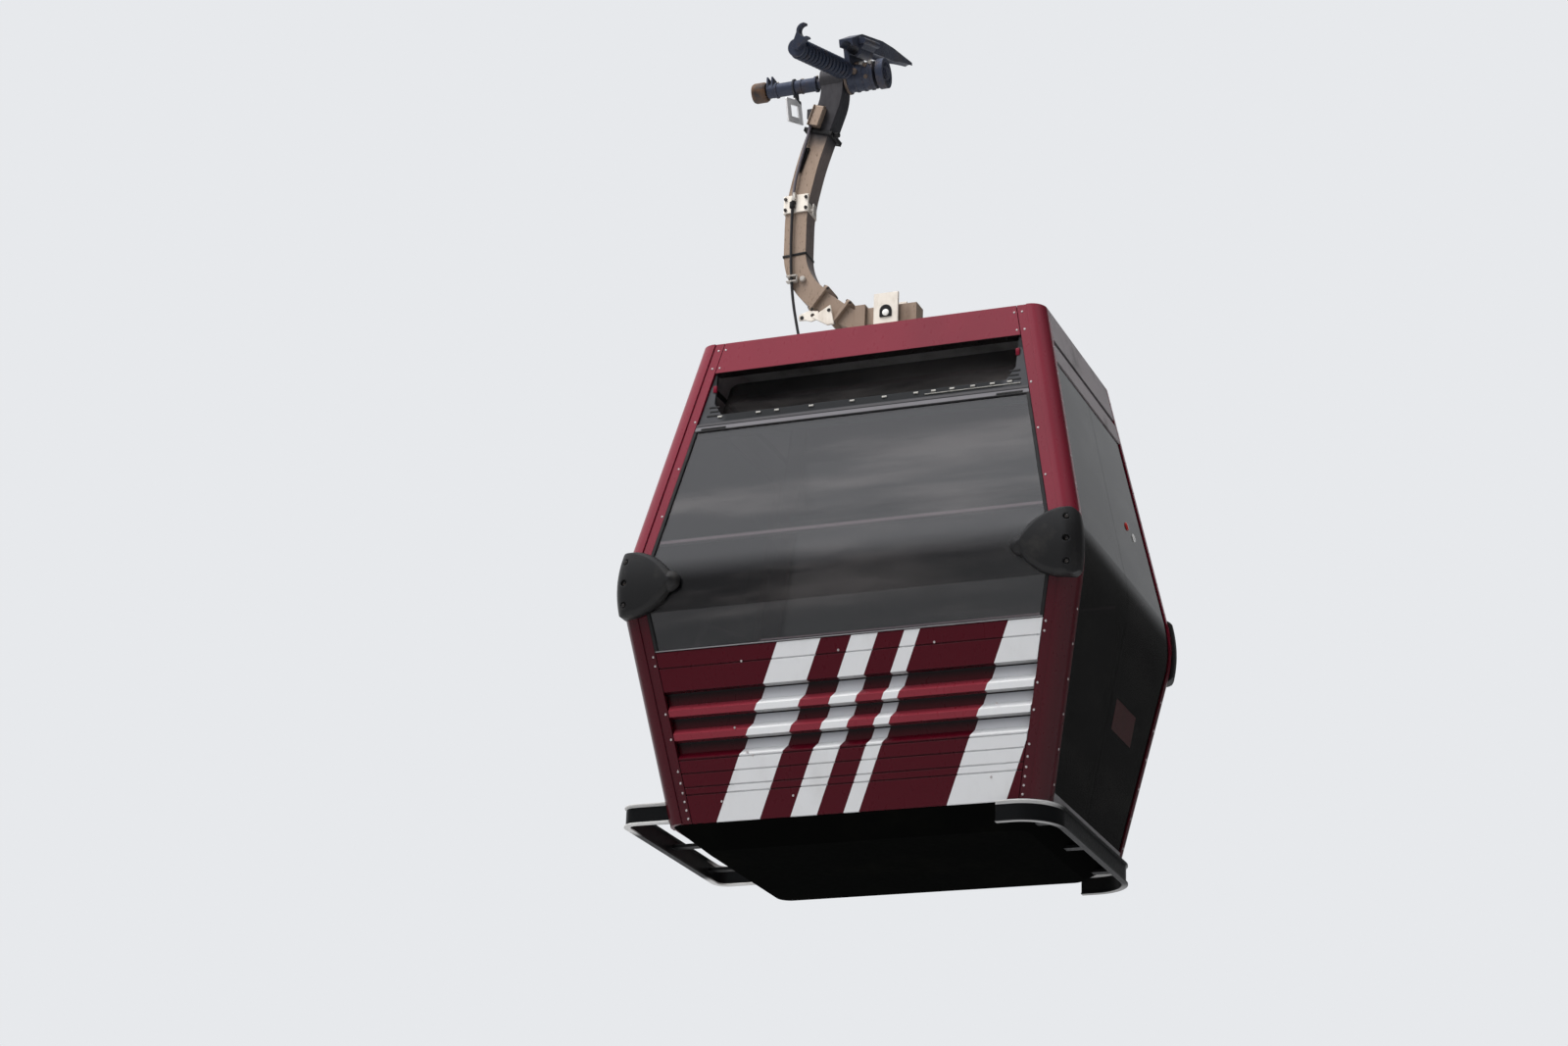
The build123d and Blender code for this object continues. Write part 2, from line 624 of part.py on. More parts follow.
# Benches, moulded seat and back along each end
seat_top = BODY_BOTTOM + FLOOR_THICKNESS + BENCH_LEVEL
for end_name, x_side in ENDS:
    with BuildPart() as bench:
        add(end_slab(WALL_DEPTH, WALL_DEPTH + BENCH_DEPTH, BENCH_SIDE_GAP, seat_top - BENCH_THICKNESS,
                     seat_top))
        add(end_slab(WALL_DEPTH, WALL_DEPTH + BACK_THICKNESS, BENCH_SIDE_GAP, seat_top, seat_top + BACK_HEIGHT))
        keep(x=x_side)
    save(bench, f"bench_{end_name}")

# Roof, a shallow shell with a frame that carries the hanger's beam
roof_half_x = wall_half(HALF_LENGTH, BODY_TOP) - ROOF_SET
roof_half_y = wall_half(HALF_WIDTH, BODY_TOP) - ROOF_SET


def roof_solid(inset):
    with BuildPart() as shell:
        for rise, taper in ((0, 0), (ROOF_RISE - inset, ROOF_TAPER)):
            with BuildSketch(Plane.XY.offset(BODY_TOP + rise)):
                with Locations((0, CABIN_Y)):
                    RectangleRounded(2 * (roof_half_x - inset - taper), 2 * (roof_half_y - inset - taper),
                                     ROOF_CORNER)
        loft()
    return shell.part


with BuildPart() as roof:
    add(roof_solid(0))
    add(roof_solid(ROOF_WALL), mode=Mode.SUBTRACT)
save(roof, "roof")



def damper_face():
    """Outline of a damper, an arch with straight sides down to a flat foot."""
    centre_z = BEAM_Z + DAMPER_RISE
    with BuildSketch() as arch:
        with Locations((DAMPER_Y, centre_z)):
            Circle(DAMPER_HOLE_R)
        with Locations((DAMPER_Y, centre_z - DAMPER_HOLE_DROP / 2)):
            Rectangle(2 * DAMPER_HOLE_R, DAMPER_HOLE_DROP)
    return arch.sketch


roof_top = BODY_TOP + ROOF_RISE
plate_x = BEAM_WIDTH / 2 + DAMPER_GAP
with BuildPart() as roof_frame:
    with Locations(*[(0, y, roof_top + FRAME_HEIGHT / 2) for y in (STRAP_Y, DAMPER_Y)]):
        Box(FRAME_LENGTH, FRAME_WIDTH, FRAME_HEIGHT)
    plate_width, plate_top, plate_thickness = DAMPER_PLATE
    for x_side in (1, -1):
        with BuildSketch(Plane.YZ.offset(x_side * plate_x)):
            plate_height = BEAM_Z + plate_top - roof_top - FRAME_HEIGHT
            with Locations((DAMPER_Y, roof_top + FRAME_HEIGHT + plate_height / 2)):
                Rectangle(plate_width, plate_height)
            add(damper_face(), mode=Mode.SUBTRACT)
        extrude(amount=x_side * plate_thickness)
        with BuildSketch(Plane.YZ.offset(x_side * plate_x)):
            with Locations((STRAP_Y, (BEAM_Z + BEAM_WIDTH / 2 + roof_top + FRAME_HEIGHT) / 2)):
                Rectangle(STRAP_WIDTH, BEAM_Z + BEAM_WIDTH / 2 - roof_top - FRAME_HEIGHT)
        extrude(amount=x_side * plate_thickness)
    with Locations((0, STRAP_Y, BEAM_Z + BEAM_WIDTH / 2 + plate_thickness / 2)):
        Box(2 * (plate_x + plate_thickness), STRAP_WIDTH, plate_thickness)
save(roof_frame, "roof_frame")

with BuildPart() as dampers:
    for x_side in (1, -1):
        with BuildSketch(Plane.YZ.offset(x_side * BEAM_WIDTH / 2)):
            add(damper_face())
        extrude(amount=x_side * (DAMPER_GAP + plate_thickness + DAMPER_PROUD))
save(dampers, "dampers")

# Hanger: hub on the axle, box arm bowed to the far side, flanged elbow and beam over the roof
axle_z = -AXLE_DROP
hub_y = (HUB_Y[0] + HUB_Y[1]) / 2
elbow_dir = (Vector(*ELBOW_END) - Vector(*ELBOW_TOP)).normalized()
arm_y = ARM_ROUTE[-1][0]
arm_corner = ELBOW_TOP[1] - (ELBOW_TOP[0] - arm_y) * elbow_dir.Y / elbow_dir.X
knee_run = (ELBOW_END[1] - BEAM_Z) * elbow_dir.X / -elbow_dir.Y
with BuildPart() as hanger_flanges:
    for point in (ELBOW_TOP, ELBOW_END):
        with BuildSketch(Plane(origin=(0, *point), x_dir=(1, 0, 0), z_dir=(0, elbow_dir.X, elbow_dir.Y))):
            RectangleRounded(ARM_DEPTH + 2 * FLANGE_OVERHANG, ARM_WIDTH + 2 * FLANGE_OVERHANG, FLANGE_CORNER)
        extrude(amount=FLANGE_THICKNESS, both=True)
save(hanger_flanges, "hanger_flanges")

with BuildPart() as hanger_arm:
    with BuildSketch(Plane.YZ):
        with BuildLine() as arm_line:
            FilletPolyline((hub_y, axle_z), *ARM_ROUTE, (arm_y, arm_corner), ELBOW_TOP, radius=ARM_BENDS)
        trace(arm_line.line, line_width=ARM_WIDTH)
    extrude(amount=ARM_DEPTH / 2, both=True)
    with BuildSketch(Plane.XZ.offset(-HUB_Y[0])):
        with Locations((0, axle_z)):
            Circle(HUB_R)
    extrude(amount=-(HUB_Y[1] - HUB_Y[0]))
    with BuildSketch(Plane.XZ.offset(-hub_y)):
        with Locations((0, axle_z)):
            Circle(AXLE_R + RUNNING_CLEARANCE)
    extrude(amount=HUB_Y[1] - HUB_Y[0], both=True, mode=Mode.SUBTRACT)
    block_width, block_height, block_depth = HOSE_BLOCK
    with Locations((ARM_DEPTH / 2, HOSE_ROUTE[0][0], HOSE_ROUTE[0][1] + block_height / 2)):
        Box(block_depth, block_width, block_height)
    add(hanger_flanges.part, mode=Mode.SUBTRACT)
save(hanger_arm, "hanger_arm")

with BuildPart() as hanger_foot:
    with BuildSketch(Plane.YZ):
        with BuildLine() as foot_line:
            FilletPolyline(ELBOW_TOP, (ELBOW_END[0] + knee_run, BEAM_Z), (BEAM_END, BEAM_Z), radius=FOOT_BEND_R)
        trace(foot_line.line, line_width=BEAM_WIDTH)
    extrude(amount=BEAM_WIDTH / 2, both=True)
    add(hanger_flanges.part, mode=Mode.SUBTRACT)
save(hanger_foot, "hanger_foot")

# Collar round the arm, target plate on its ring, and the hose down the arm into the roof
with BuildPart() as arm_collar:
    with BuildSketch(Plane.XY.offset(COLLAR_TOP - COLLAR_HEIGHT)):
        with Locations((0, arm_y)):
            RectangleRounded(ARM_DEPTH + 2 * COLLAR_WALL, ARM_WIDTH + 2 * COLLAR_WALL, COLLAR_WALL)
    extrude(amount=COLLAR_HEIGHT)
    add(hanger_arm.part, mode=Mode.SUBTRACT)
save(arm_collar, "arm_collar")

target_face = Plane(origin=(0, TARGET_Y, 0), x_dir=GRIP.x_dir, z_dir=-GRIP.y_dir)
target_middle = target_face.to_local_coords(Vector(TARGET_X, TARGET_Y, TARGET_Z))
ring_middle = target_face.to_local_coords(Vector(0, TARGET_Y, axle_z))
with BuildPart() as target_plate:
    with BuildSketch(target_face):
        with Locations((ring_middle.X, ring_middle.Y)):
            Circle(TARGET_RING_R)
        with Locations((ring_middle.X, (ring_middle.Y + target_middle.Y) / 2)):
            Rectangle(TARGET_NECK, ring_middle.Y - target_middle.Y)
        with Locations((target_middle.X, target_middle.Y)):
            RectangleRounded(TARGET_WIDTH, TARGET_HEIGHT, TARGET_CORNER)
            Rectangle(TARGET_HOLE_WIDTH, TARGET_HOLE_HEIGHT, mode=Mode.SUBTRACT)
        with Locations((ring_middle.X, ring_middle.Y)):
            Circle(SLEEVE_R, mode=Mode.SUBTRACT)
    extrude(amount=TARGET_THICKNESS)
save(target_plate, "target_plate")

hose_points = [Vector(HOSE_X, y, z) for y, z in HOSE_ROUTE]
hose_radii = []
for before, point, after in zip(hose_points, hose_points[1:], hose_points[2:]):
    turn = (point - before).get_angle(after - point)
    shorter = min((point - before).length, (after - point).length)
    hose_radii.append(HOSE_ARC_SHARE * shorter / tan(radians(turn / 2)))
print("hose radii", [round(radius) for radius in hose_radii])
with BuildPart() as hanger_hose:
    with BuildLine() as hose_line:
        FilletPolyline(*hose_points, radius=hose_radii)
    with BuildSketch(Plane(origin=hose_line.line @ 0, z_dir=hose_line.line % 0)):
        Circle(HOSE_R)
    sweep()
save(hanger_hose, "hanger_hose")

with BuildPart() as roof_gland:
    with BuildSketch(Plane.XY.offset(roof_top)):
        with Locations((HOSE_X, HOSE_ROUTE[-1][0])):
            Circle(GLAND_R)
    extrude(amount=HOSE_ROUTE[-1][1] - roof_top)
save(roof_gland, "roof_gland")

# Axle with its sleeve, roller, fins and running wheel
with BuildPart() as axle:
    for radius, (low, high) in ((AXLE_R, AXLE_ENDS), (SLEEVE_R, SLEEVE_Y)):
        with BuildSketch(Plane.XZ.offset(-low)):
            with Locations((0, axle_z)):
                Circle(radius)
        extrude(amount=-(high - low))
save(axle, "axle")


def turned(name, profile):
    """A piece turned about the axle from (y, radius) points."""
    with BuildPart() as piece:
        with BuildSketch(Plane.YZ):
            with BuildLine():
                Polyline(*[(y, axle_z + radius) for y, radius in profile], close=True)
            make_face()
        revolve(axis=Axis((0, 0, axle_z), (0, 1, 0)))
    save(piece, name)


bearing_r = AXLE_R + RUNNING_CLEARANCE
low, high = ROLLER_Y
turned("guide_roller", ((low, bearing_r), (low, ROLLER_R - ROLLER_RIM), (low + ROLLER_RIM * 2, ROLLER_R),
                        (high - ROLLER_RIM * 2, ROLLER_R), (high, ROLLER_R - ROLLER_RIM), (high, bearing_r)))
low, high = WHEEL_Y
web_r = WHEEL_R - WHEEL_RIM
turned("running_wheel", ((low, bearing_r), (low, WHEEL_HUB_R), (low + WHEEL_WEB, WHEEL_HUB_R),
                         (low + WHEEL_WEB, web_r), (low, web_r), (low, WHEEL_R), (high, WHEEL_R), (high, web_r),
                         (high - WHEEL_WEB, web_r), (high - WHEEL_WEB, WHEEL_HUB_R), (high, WHEEL_HUB_R),
                         (high, bearing_r)))

with BuildPart() as coupling_fins:
    for fin_y in FIN_Y:
        with BuildSketch(Plane.XZ.offset(-fin_y)):
            with Locations((0, axle_z)):
                Circle(FIN_WIDTH / 2)
            with Locations((0, axle_z + FIN_HEIGHT / 2)):
                Rectangle(FIN_WIDTH, FIN_HEIGHT)
            with Locations((0, axle_z)):
                Circle(AXLE_R, mode=Mode.SUBTRACT)
        extrude(amount=-FIN_THICKNESS)
    with BuildSketch(Plane.XZ.offset(-FIN_Y[0])):
        with Locations((0, axle_z)):
            Circle(SLEEVE_R)
            Circle(AXLE_R, mode=Mode.SUBTRACT)
    extrude(amount=-(SLEEVE_Y[0] - FIN_Y[0]))
save(coupling_fins, "coupling_fins")

# Grip: housing, fixed jaw round the far half of the rope, nose, moving jaw, spring and its guide
def grip_plane(along):
    """Plane across the rope, its local x toward +Y and its local y away from the axle."""
    return Plane(origin=GRIP.origin + GRIP.x_dir * along, x_dir=GRIP.y_dir, z_dir=GRIP.x_dir)


def jaw_face(foot_z):
    """Section of the fixed jaw, open toward the door side."""
    with BuildSketch() as section:
        with BuildLine():
            Polyline((-JAW_WIDTH / 2, foot_z), (-JAW_WIDTH / 2, JAW_TOP - JAW_BEVEL),
                     (-JAW_WIDTH / 2 + JAW_BEVEL, JAW_TOP), (JAW_TIP_Y, JAW_TOP), (JAW_TIP_Y, JAW_TIP_Z),
                     (0, 0), (-JAW_LIP_Y, -JAW_LIP_Z), (-JAW_LIP_Y, foot_z), close=True)
        make_face()
    return section.sketch


with BuildPart() as grip_body:
    with BuildSketch(Plane.XZ.offset(-HOUSING_Y[0])):
        with Locations((0, axle_z)):
            Circle(HOUSING_R)
    extrude(amount=-(HOUSING_Y[1] - HOUSING_Y[0]))
    for rib_y in HOUSING_RIBS_Y:
        with BuildSketch(Plane.XZ.offset(-rib_y)):
            with Locations((0, axle_z)):
                Circle(HOUSING_R + HOUSING_RIB)
        extrude(amount=-HOUSING_RIB_WIDTH)
    with BuildSketch(grip_plane(-CLAMP_LENGTH / 2)):
        add(jaw_face(axle_z * cos(radians(ROPE_SLOPE))))
    extrude(amount=CLAMP_LENGTH)
    with BuildSketch(Plane.XZ.offset(-HOUSING_Y[0] + SIDE_CLEARANCE)):
        with Locations((0, axle_z)):
            Circle(AXLE_R)
    extrude(amount=-(HOUSING_Y[1] - HOUSING_Y[0] + 2 * SIDE_CLEARANCE), mode=Mode.SUBTRACT)
    for along, run in ((-CLAMP_LENGTH / 2, 1), (CLAMP_LENGTH / 2, -1)):
        with BuildSketch(grip_plane(along)):
            with BuildLine():
                Polyline((0, JAW_TOP), (PIVOT_Y, PIVOT_Z + PIVOT_LUG_R), (PIVOT_Y, PIVOT_Z - PIVOT_LUG_R),
                         (JAW_TIP_Y, JAW_TIP_Z), (0, JAW_TIP_Z + PIVOT_LUG_R), close=True)
            make_face()
            with Locations((PIVOT_Y, PIVOT_Z)):
                Circle(PIVOT_LUG_R)
        extrude(amount=run * ((CLAMP_LENGTH - LOWER_JAW_LENGTH) / 2 - EAR_GAP))
    with BuildSketch(grip_plane(-CLAMP_LENGTH / 2)):
        with Locations((PIVOT_Y, PIVOT_Z)):
            Circle(PIVOT_PIN_R)
    extrude(amount=CLAMP_LENGTH)
    with BuildSketch(grip_plane(0)):
        Circle(ROPE_R + CLAMP_CLEARANCE)
    extrude(amount=REACH, both=True, mode=Mode.SUBTRACT)
save(grip_body, "grip_body")

low_angle, high_angle = LOWER_JAW_ANGLES
inner_r, outer_r = ROPE_R + CLAMP_CLEARANCE, ROPE_R + CLAMP_CLEARANCE + LOWER_JAW_WALL
with BuildPart() as grip_jaw:
    with BuildSketch(grip_plane(-LOWER_JAW_LENGTH / 2)):
        with BuildLine():
            inner = CenterArc((0, 0), inner_r, low_angle, high_angle - low_angle)
            outer = CenterArc((0, 0), outer_r, low_angle, high_angle - low_angle)
            Line(inner @ 0, outer @ 0)
            Line(inner @ 1, outer @ 1)
        make_face()
        with Locations((PIVOT_Y, PIVOT_Z)):
            Circle(PIVOT_LUG_R)
        with BuildLine():
            Polyline(outer @ 1, outer @ JAW_WEB_SHARE, (PIVOT_Y + PIVOT_LUG_R, PIVOT_Z),
                     (PIVOT_Y - PIVOT_LUG_R, PIVOT_Z), close=True)
        make_face()
        with Locations((PIVOT_Y, PIVOT_Z)):
            Circle(PIVOT_PIN_R + RUNNING_CLEARANCE, mode=Mode.SUBTRACT)
    extrude(amount=LOWER_JAW_LENGTH)
save(grip_jaw, "grip_jaw")

nose_start, nose_tip = NOSE_PROFILE[0][0], NOSE_PROFILE[-1][0]
with BuildPart() as grip_nose:
    with BuildSketch(Plane(origin=GRIP.origin, x_dir=GRIP.x_dir, z_dir=-GRIP.y_dir)):
        with BuildLine():
            Polyline((nose_start, 0), *NOSE_PROFILE, (nose_tip, 0), close=True)
        make_face()
    extrude(amount=NOSE_HALF_WIDTH, both=True)
    with BuildSketch(GRIP):
        with BuildLine():
            Polyline((nose_start, NOSE_HALF_WIDTH), (NOSE_TAPER_START, NOSE_HALF_WIDTH),
                     (nose_tip, NOSE_TIP_HALF_WIDTH), (nose_tip, -NOSE_TIP_HALF_WIDTH),
                     (NOSE_TAPER_START, -NOSE_HALF_WIDTH), (nose_start, -NOSE_HALF_WIDTH), close=True)
        make_face()
    extrude(amount=REACH, both=True, mode=Mode.INTERSECT)
    with BuildSketch(grip_plane(0)):
        Circle(ROPE_R + ROPE_ROOM)
    extrude(amount=REACH, both=True, mode=Mode.SUBTRACT)
    with BuildSketch(grip_plane(0)):
        with Locations((0, (JAW_TOP - REACH) / 2)):
            Rectangle(2 * REACH, JAW_TOP + REACH)
    extrude(amount=CLAMP_LENGTH / 2, both=True, mode=Mode.SUBTRACT)
save(grip_nose, "grip_nose")

spring_axis = (Vector(SPRING_LENGTH, SPRING_FAR_Y - SPRING_NEAR[1], SPRING_FAR_Z - SPRING_NEAR[2])).normalized()


def spring_plane(along):
    """Plane across the spring at a distance past its near seat."""
    start = Vector(*SPRING_NEAR) + spring_axis * along
    return Plane(origin=GRIP.from_local_coords(start), x_dir=GRIP.y_dir,
                 z_dir=GRIP.x_dir * spring_axis.X + GRIP.y_dir * spring_axis.Y + GRIP.z_dir * spring_axis.Z)


saddle_start = SPRING_NEAR[0] + SPRING_LENGTH
low_angle, high_angle = SADDLE_ANGLES
inner_r, outer_r = ROPE_R + ROPE_ROOM, ROPE_R + ROPE_ROOM + SADDLE_WALL
with BuildPart() as spring_guide:
    with BuildSketch(spring_plane(CLAMP_LENGTH / 2 - SPRING_NEAR[0])):
        Circle(SPRING_ROD_R)
    extrude(amount=saddle_start + SEAT_THICKNESS - CLAMP_LENGTH / 2)
    for along in (-SEAT_THICKNESS, SPRING_LENGTH):
        with BuildSketch(spring_plane(along)):
            Circle(SEAT_R)
        extrude(amount=SEAT_THICKNESS)
    with BuildSketch(grip_plane(saddle_start)):
        with BuildLine():
            inner = CenterArc((0, 0), inner_r, low_angle, high_angle - low_angle)
            outer = CenterArc((0, 0), outer_r, low_angle, high_angle - low_angle)
            Line(inner @ 0, outer @ 0)
            Line(inner @ 1, outer @ 1)
        make_face()
        with BuildLine():
            Polyline((-outer_r, 0), (SPRING_FAR_Y - SPRING_ROD_R, SPRING_FAR_Z),
                     (SPRING_FAR_Y + SPRING_ROD_R, SPRING_FAR_Z - SPRING_ROD_R), (0, -outer_r), close=True)
        make_face()
        Circle(inner_r, mode=Mode.SUBTRACT)
    extrude(amount=SADDLE_LENGTH)
    add(grip_body.part, mode=Mode.SUBTRACT)
save(spring_guide, "spring_guide")

coil_height = SPRING_LENGTH - 2 * SPRING_WIRE_R - 2 * COIL_GAP
with BuildPart() as coil:
    with BuildLine():
        turns = Helix(pitch=coil_height / SPRING_TURNS, height=coil_height, radius=SPRING_R - SPRING_WIRE_R)
    with BuildSketch(Plane(origin=turns @ 0, z_dir=turns % 0)):
        Circle(SPRING_WIRE_R)
    sweep(is_frenet=True)
with BuildPart() as grip_spring:
    with Locations(spring_plane(SPRING_WIRE_R + COIL_GAP).location):
        add(coil.part)
save(grip_spring, "grip_spring")
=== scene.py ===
import bpy
import bmesh
import json
import math
from math import cos, sin, radians, sqrt
from mathutils import Vector, Matrix


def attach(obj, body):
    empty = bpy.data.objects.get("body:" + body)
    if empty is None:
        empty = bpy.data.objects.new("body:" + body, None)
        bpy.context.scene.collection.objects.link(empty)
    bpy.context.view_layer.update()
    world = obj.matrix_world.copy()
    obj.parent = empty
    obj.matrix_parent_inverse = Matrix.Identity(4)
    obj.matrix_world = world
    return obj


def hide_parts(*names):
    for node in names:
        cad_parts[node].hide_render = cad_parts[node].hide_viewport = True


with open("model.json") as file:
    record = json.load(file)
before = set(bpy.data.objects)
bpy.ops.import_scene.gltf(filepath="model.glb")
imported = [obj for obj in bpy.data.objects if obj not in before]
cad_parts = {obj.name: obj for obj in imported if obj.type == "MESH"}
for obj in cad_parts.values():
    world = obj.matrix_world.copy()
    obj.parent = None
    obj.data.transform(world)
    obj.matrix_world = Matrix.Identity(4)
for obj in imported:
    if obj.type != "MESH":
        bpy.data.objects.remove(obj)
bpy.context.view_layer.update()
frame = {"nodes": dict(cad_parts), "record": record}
nodes = frame["nodes"]

# The model's driving sizes, in metres; a level is a height above the body's bottom
CABIN_Y = 0.284
HALF_LENGTH = 0.78
HALF_WIDTH = 1.05
WAIST_Z = -2.965
BODY_TOP = -1.73
BODY_BOTTOM = -4.0
BEND_R = 0.66
SLOPE = radians(11.3)
AXLE_Z = -0.142
POST_FACE = 0.118
WINDOW_LOW = 0.740
WINDOW_HIGH = 1.803
VENT_LOW = 1.843
VENT_CHEEK_TOP = 2.045
VENT_CHEEK_Y = 0.66
HEADER_LOW = 2.000
PANEL_SET = 0.006
ROOF_RISE = 0.046
ROOF_FRAME_HEIGHT = 0.034

# Where a surface changes colour
SLOT_LEVELS = ((0.515, 0.566), (0.412, 0.457), (0.308, 0.354))
# Height of the painted shadow line at the top of each slot
SLOT_SHADOW_HEIGHT = 0.007
# Strips between the slots that get a painted highlight
LOUVRE_LEVELS = ((0.354, 0.412), (0.457, 0.515))
BAR_LEAN = 0.42
# Where each slanted bar begins, across from the cabin's middle at the body's bottom, and its width
BARS = ((-0.62, 0.20), (-0.28, 0.12), (-0.04, 0.07), (0.42, 0.26))
# Heights where the painted shade below the waist begins and where it is full
LOW_SHADE_EDGE = (WAIST_Z + 0.10, WAIST_Z - 0.16)
VENT_DARK_LEVEL = VENT_LOW + 0.010
VENT_RAIL_TOP = VENT_LOW + 0.006
RAIL_LINE_LEVEL = 1.828
RAIL_LINE_WIDTH = 0.005
HEADER_SLOT = (HEADER_LOW + 0.084, HEADER_LOW + 0.110)
# The damper plates are pale from just above the roof frame's rails
DAMPER_PLATE_Y = 0.12
DAMPER_PLATE_Z = BODY_TOP + ROOF_RISE + ROOF_FRAME_HEIGHT + 0.003
TARGET_RING_Z = -0.203
ARM_DARK = (-0.50, -0.38)
ARM_HEAD_Z = -0.097
HOSE_PALE_Z = -0.765
GUIDE_RAIL_HEIGHT = 0.090
# Each guide rail's top, its bare upper and lower lips, and where along X the bare metal begins and is full
GUIDE_RAILS = {
    "guide_rail_door": (-4.012, 0.016, 0.0, 0.46, 0.585),
    "guide_rail_wall": (-3.888, 0.014, 0.010, 0.36, 0.46),
}

# Camera, fitted to the corners of the cabin in a 1600 x 1067 frame
CAMERA_AZIMUTH = radians(19.83)
CAMERA_ELEVATION = radians(-19.26)
CAMERA_DISTANCE = 14.14
CAMERA_TARGET = Vector((0, CABIN_Y, -2.9))
CAMERA_PAN = radians(2.21)
CAMERA_TILT = radians(-1.53)
CAMERA_ROLL = radians(-1.27)
CAMERA_SENSOR = 36.0
CAMERA_LENS = 72.0
CAMERA_REACH = 1000
FLOOR_BELOW_CAMERA = 0.08
FLOOR_REACH = 400.0
FLOOR_COLOURS = ((0.58, 0.58, 0.58), (0.62, 0.62, 0.62))
FLOOR_CLOUD_SCALE = 0.6
FLOOR_ROUGHNESS = 0.9

# Studio surroundings: colours, and where they change by the parts of a direction
WORLD_PALE = (0.80, 0.815, 0.84)
WORLD_LOW = (0.30, 0.31, 0.30)
WORLD_DIM = (0.16, 0.16, 0.165)
WORLD_SKY = (1.5, 1.52, 1.6)
WORLD_DOOR = (0.07, 0.07, 0.07)
WORLD_HORIZON_EDGE = (-0.04, 0.08)
WORLD_SKY_EDGE = (0.34, 0.72)
WORLD_TURN = (-0.25, 0.25)
WORLD_DOOR_TURN = (-0.02, 0.24)
WORLD_DOOR_RISE = (0.95, 0.62)
# Soft lights: (name, place, aim, size, power, colour)
SOFTBOXES = (
    ("overhead", (3.5, -2.5, 7.0), (0, 0.3, -2.0), (5.0, 5.0), 1300, (1.0, 0.97, 0.93)),
    ("front", (8.0, -4.0, 4.5), (0, 0.3, -2.6), (5.0, 4.0), 330, (1, 1, 1)),
    ("door_side", (4.0, 8.0, -0.5), (0, 0.3, -2.6), (4.0, 4.0), 15, (1, 1, 1)),
)

X_AXIS = Vector((1, 0, 0))
Y_AXIS = Vector((0, 1, 0))
Z_AXIS = Vector((0, 0, 1))
WORLD_AXES = (X_AXIS, Y_AXIS, Z_AXIS)


def add_object(name, data):
    thing = bpy.data.objects.new(name, data)
    bpy.context.scene.collection.objects.link(thing)
    return thing


def turn_pair(first, second, angle):
    """Two square directions, turned in their own plane."""
    return first * cos(angle) + second * sin(angle), second * cos(angle) - first * sin(angle)


def make_camera():
    away = Vector((
        cos(CAMERA_AZIMUTH) * cos(CAMERA_ELEVATION),
        sin(CAMERA_AZIMUTH) * cos(CAMERA_ELEVATION),
        sin(CAMERA_ELEVATION)))
    ahead = -away
    right = ahead.cross(Z_AXIS).normalized()
    up = right.cross(ahead)
    right, ahead = turn_pair(right, ahead, CAMERA_PAN)
    up, ahead = turn_pair(up, ahead, CAMERA_TILT)
    right, up = turn_pair(right, up, -CAMERA_ROLL)
    data = bpy.data.cameras.new("camera")
    data.sensor_width = CAMERA_SENSOR
    data.lens = CAMERA_LENS
    data.clip_end = CAMERA_REACH
    camera = add_object("camera", data)
    place = CAMERA_TARGET + away * CAMERA_DISTANCE
    camera.matrix_world = Matrix((
        (right.x, up.x, -ahead.x, place.x),
        (right.y, up.y, -ahead.y, place.y),
        (right.z, up.z, -ahead.z, place.z),
        (0, 0, 0, 1)))
    bpy.context.scene.camera = camera
    return place


camera_place = make_camera()


# Shader nodes

def new_material(name):
    material = bpy.data.materials.new(name)
    material.use_nodes = True
    tree = material.node_tree
    return material, tree, tree.nodes["Principled BSDF"]


def add_node(tree, kind, **settings):
    made = tree.nodes.new(kind)
    for key, value in settings.items():
        if key in made.inputs:
            made.inputs[key].default_value = value
        else:
            setattr(made, key, value)
    return made


def link(tree, source, target):
    tree.links.new(source, target)


def coordinates(tree, scale=(1, 1, 1)):
    place = add_node(tree, "ShaderNodeTexCoord")
    mapping = add_node(tree, "ShaderNodeMapping")
    mapping.inputs["Scale"].default_value = scale
    link(tree, place.outputs["Object"], mapping.inputs["Vector"])
    return mapping.outputs["Vector"]


def axis_of(tree, axis, output="Object"):
    """One axis of the place in metres (Object), the way a face looks (Normal) or a direction (Generated)."""
    place = add_node(tree, "ShaderNodeTexCoord")
    split = add_node(tree, "ShaderNodeSeparateXYZ")
    link(tree, place.outputs[output], split.inputs["Vector"])
    return split.outputs[axis]


def noise(tree, vector, scale, detail=5.0, roughness=0.6):
    made = add_node(tree, "ShaderNodeTexNoise", Scale=scale, Detail=detail, Roughness=roughness)
    link(tree, vector, made.inputs["Vector"])
    return made.outputs["Fac"]


def remap(tree, value, low, high, to_low=0.0, to_high=1.0):
    made = add_node(tree, "ShaderNodeMapRange")
    made.interpolation_type = "SMOOTHSTEP"
    for name, number in (("From Min", low), ("From Max", high), ("To Min", to_low), ("To Max", to_high)):
        made.inputs[name].default_value = number
    link(tree, value, made.inputs["Value"])
    return made.outputs["Result"]


def math_node(tree, operation, first, second):
    made = add_node(tree, "ShaderNodeMath", operation=operation)
    for slot, value in ((0, first), (1, second)):
        if isinstance(value, (int, float)):
            made.inputs[slot].default_value = value
        else:
            link(tree, value, made.inputs[slot])
    return made.outputs["Value"]


def blend(tree, factor, first, second):
    """The first colour where factor is 0, the second where it is 1."""
    made = add_node(tree, "ShaderNodeMix", data_type="RGBA")
    link(tree, factor, made.inputs["Factor"])
    for slot, value in (("A", first), ("B", second)):
        socket = [s for s in made.inputs if s.name == slot and s.type == "RGBA"][0]
        if isinstance(value, tuple):
            socket.default_value = (*value, 1.0)
        else:
            link(tree, value, socket)
    return [s for s in made.outputs if s.type == "RGBA"][0]


EDGE_SOFTNESS = 0.0008


def above(tree, value, edge, softness=EDGE_SOFTNESS):
    """1 where value is above edge."""
    return remap(tree, value, edge - softness, edge + softness)


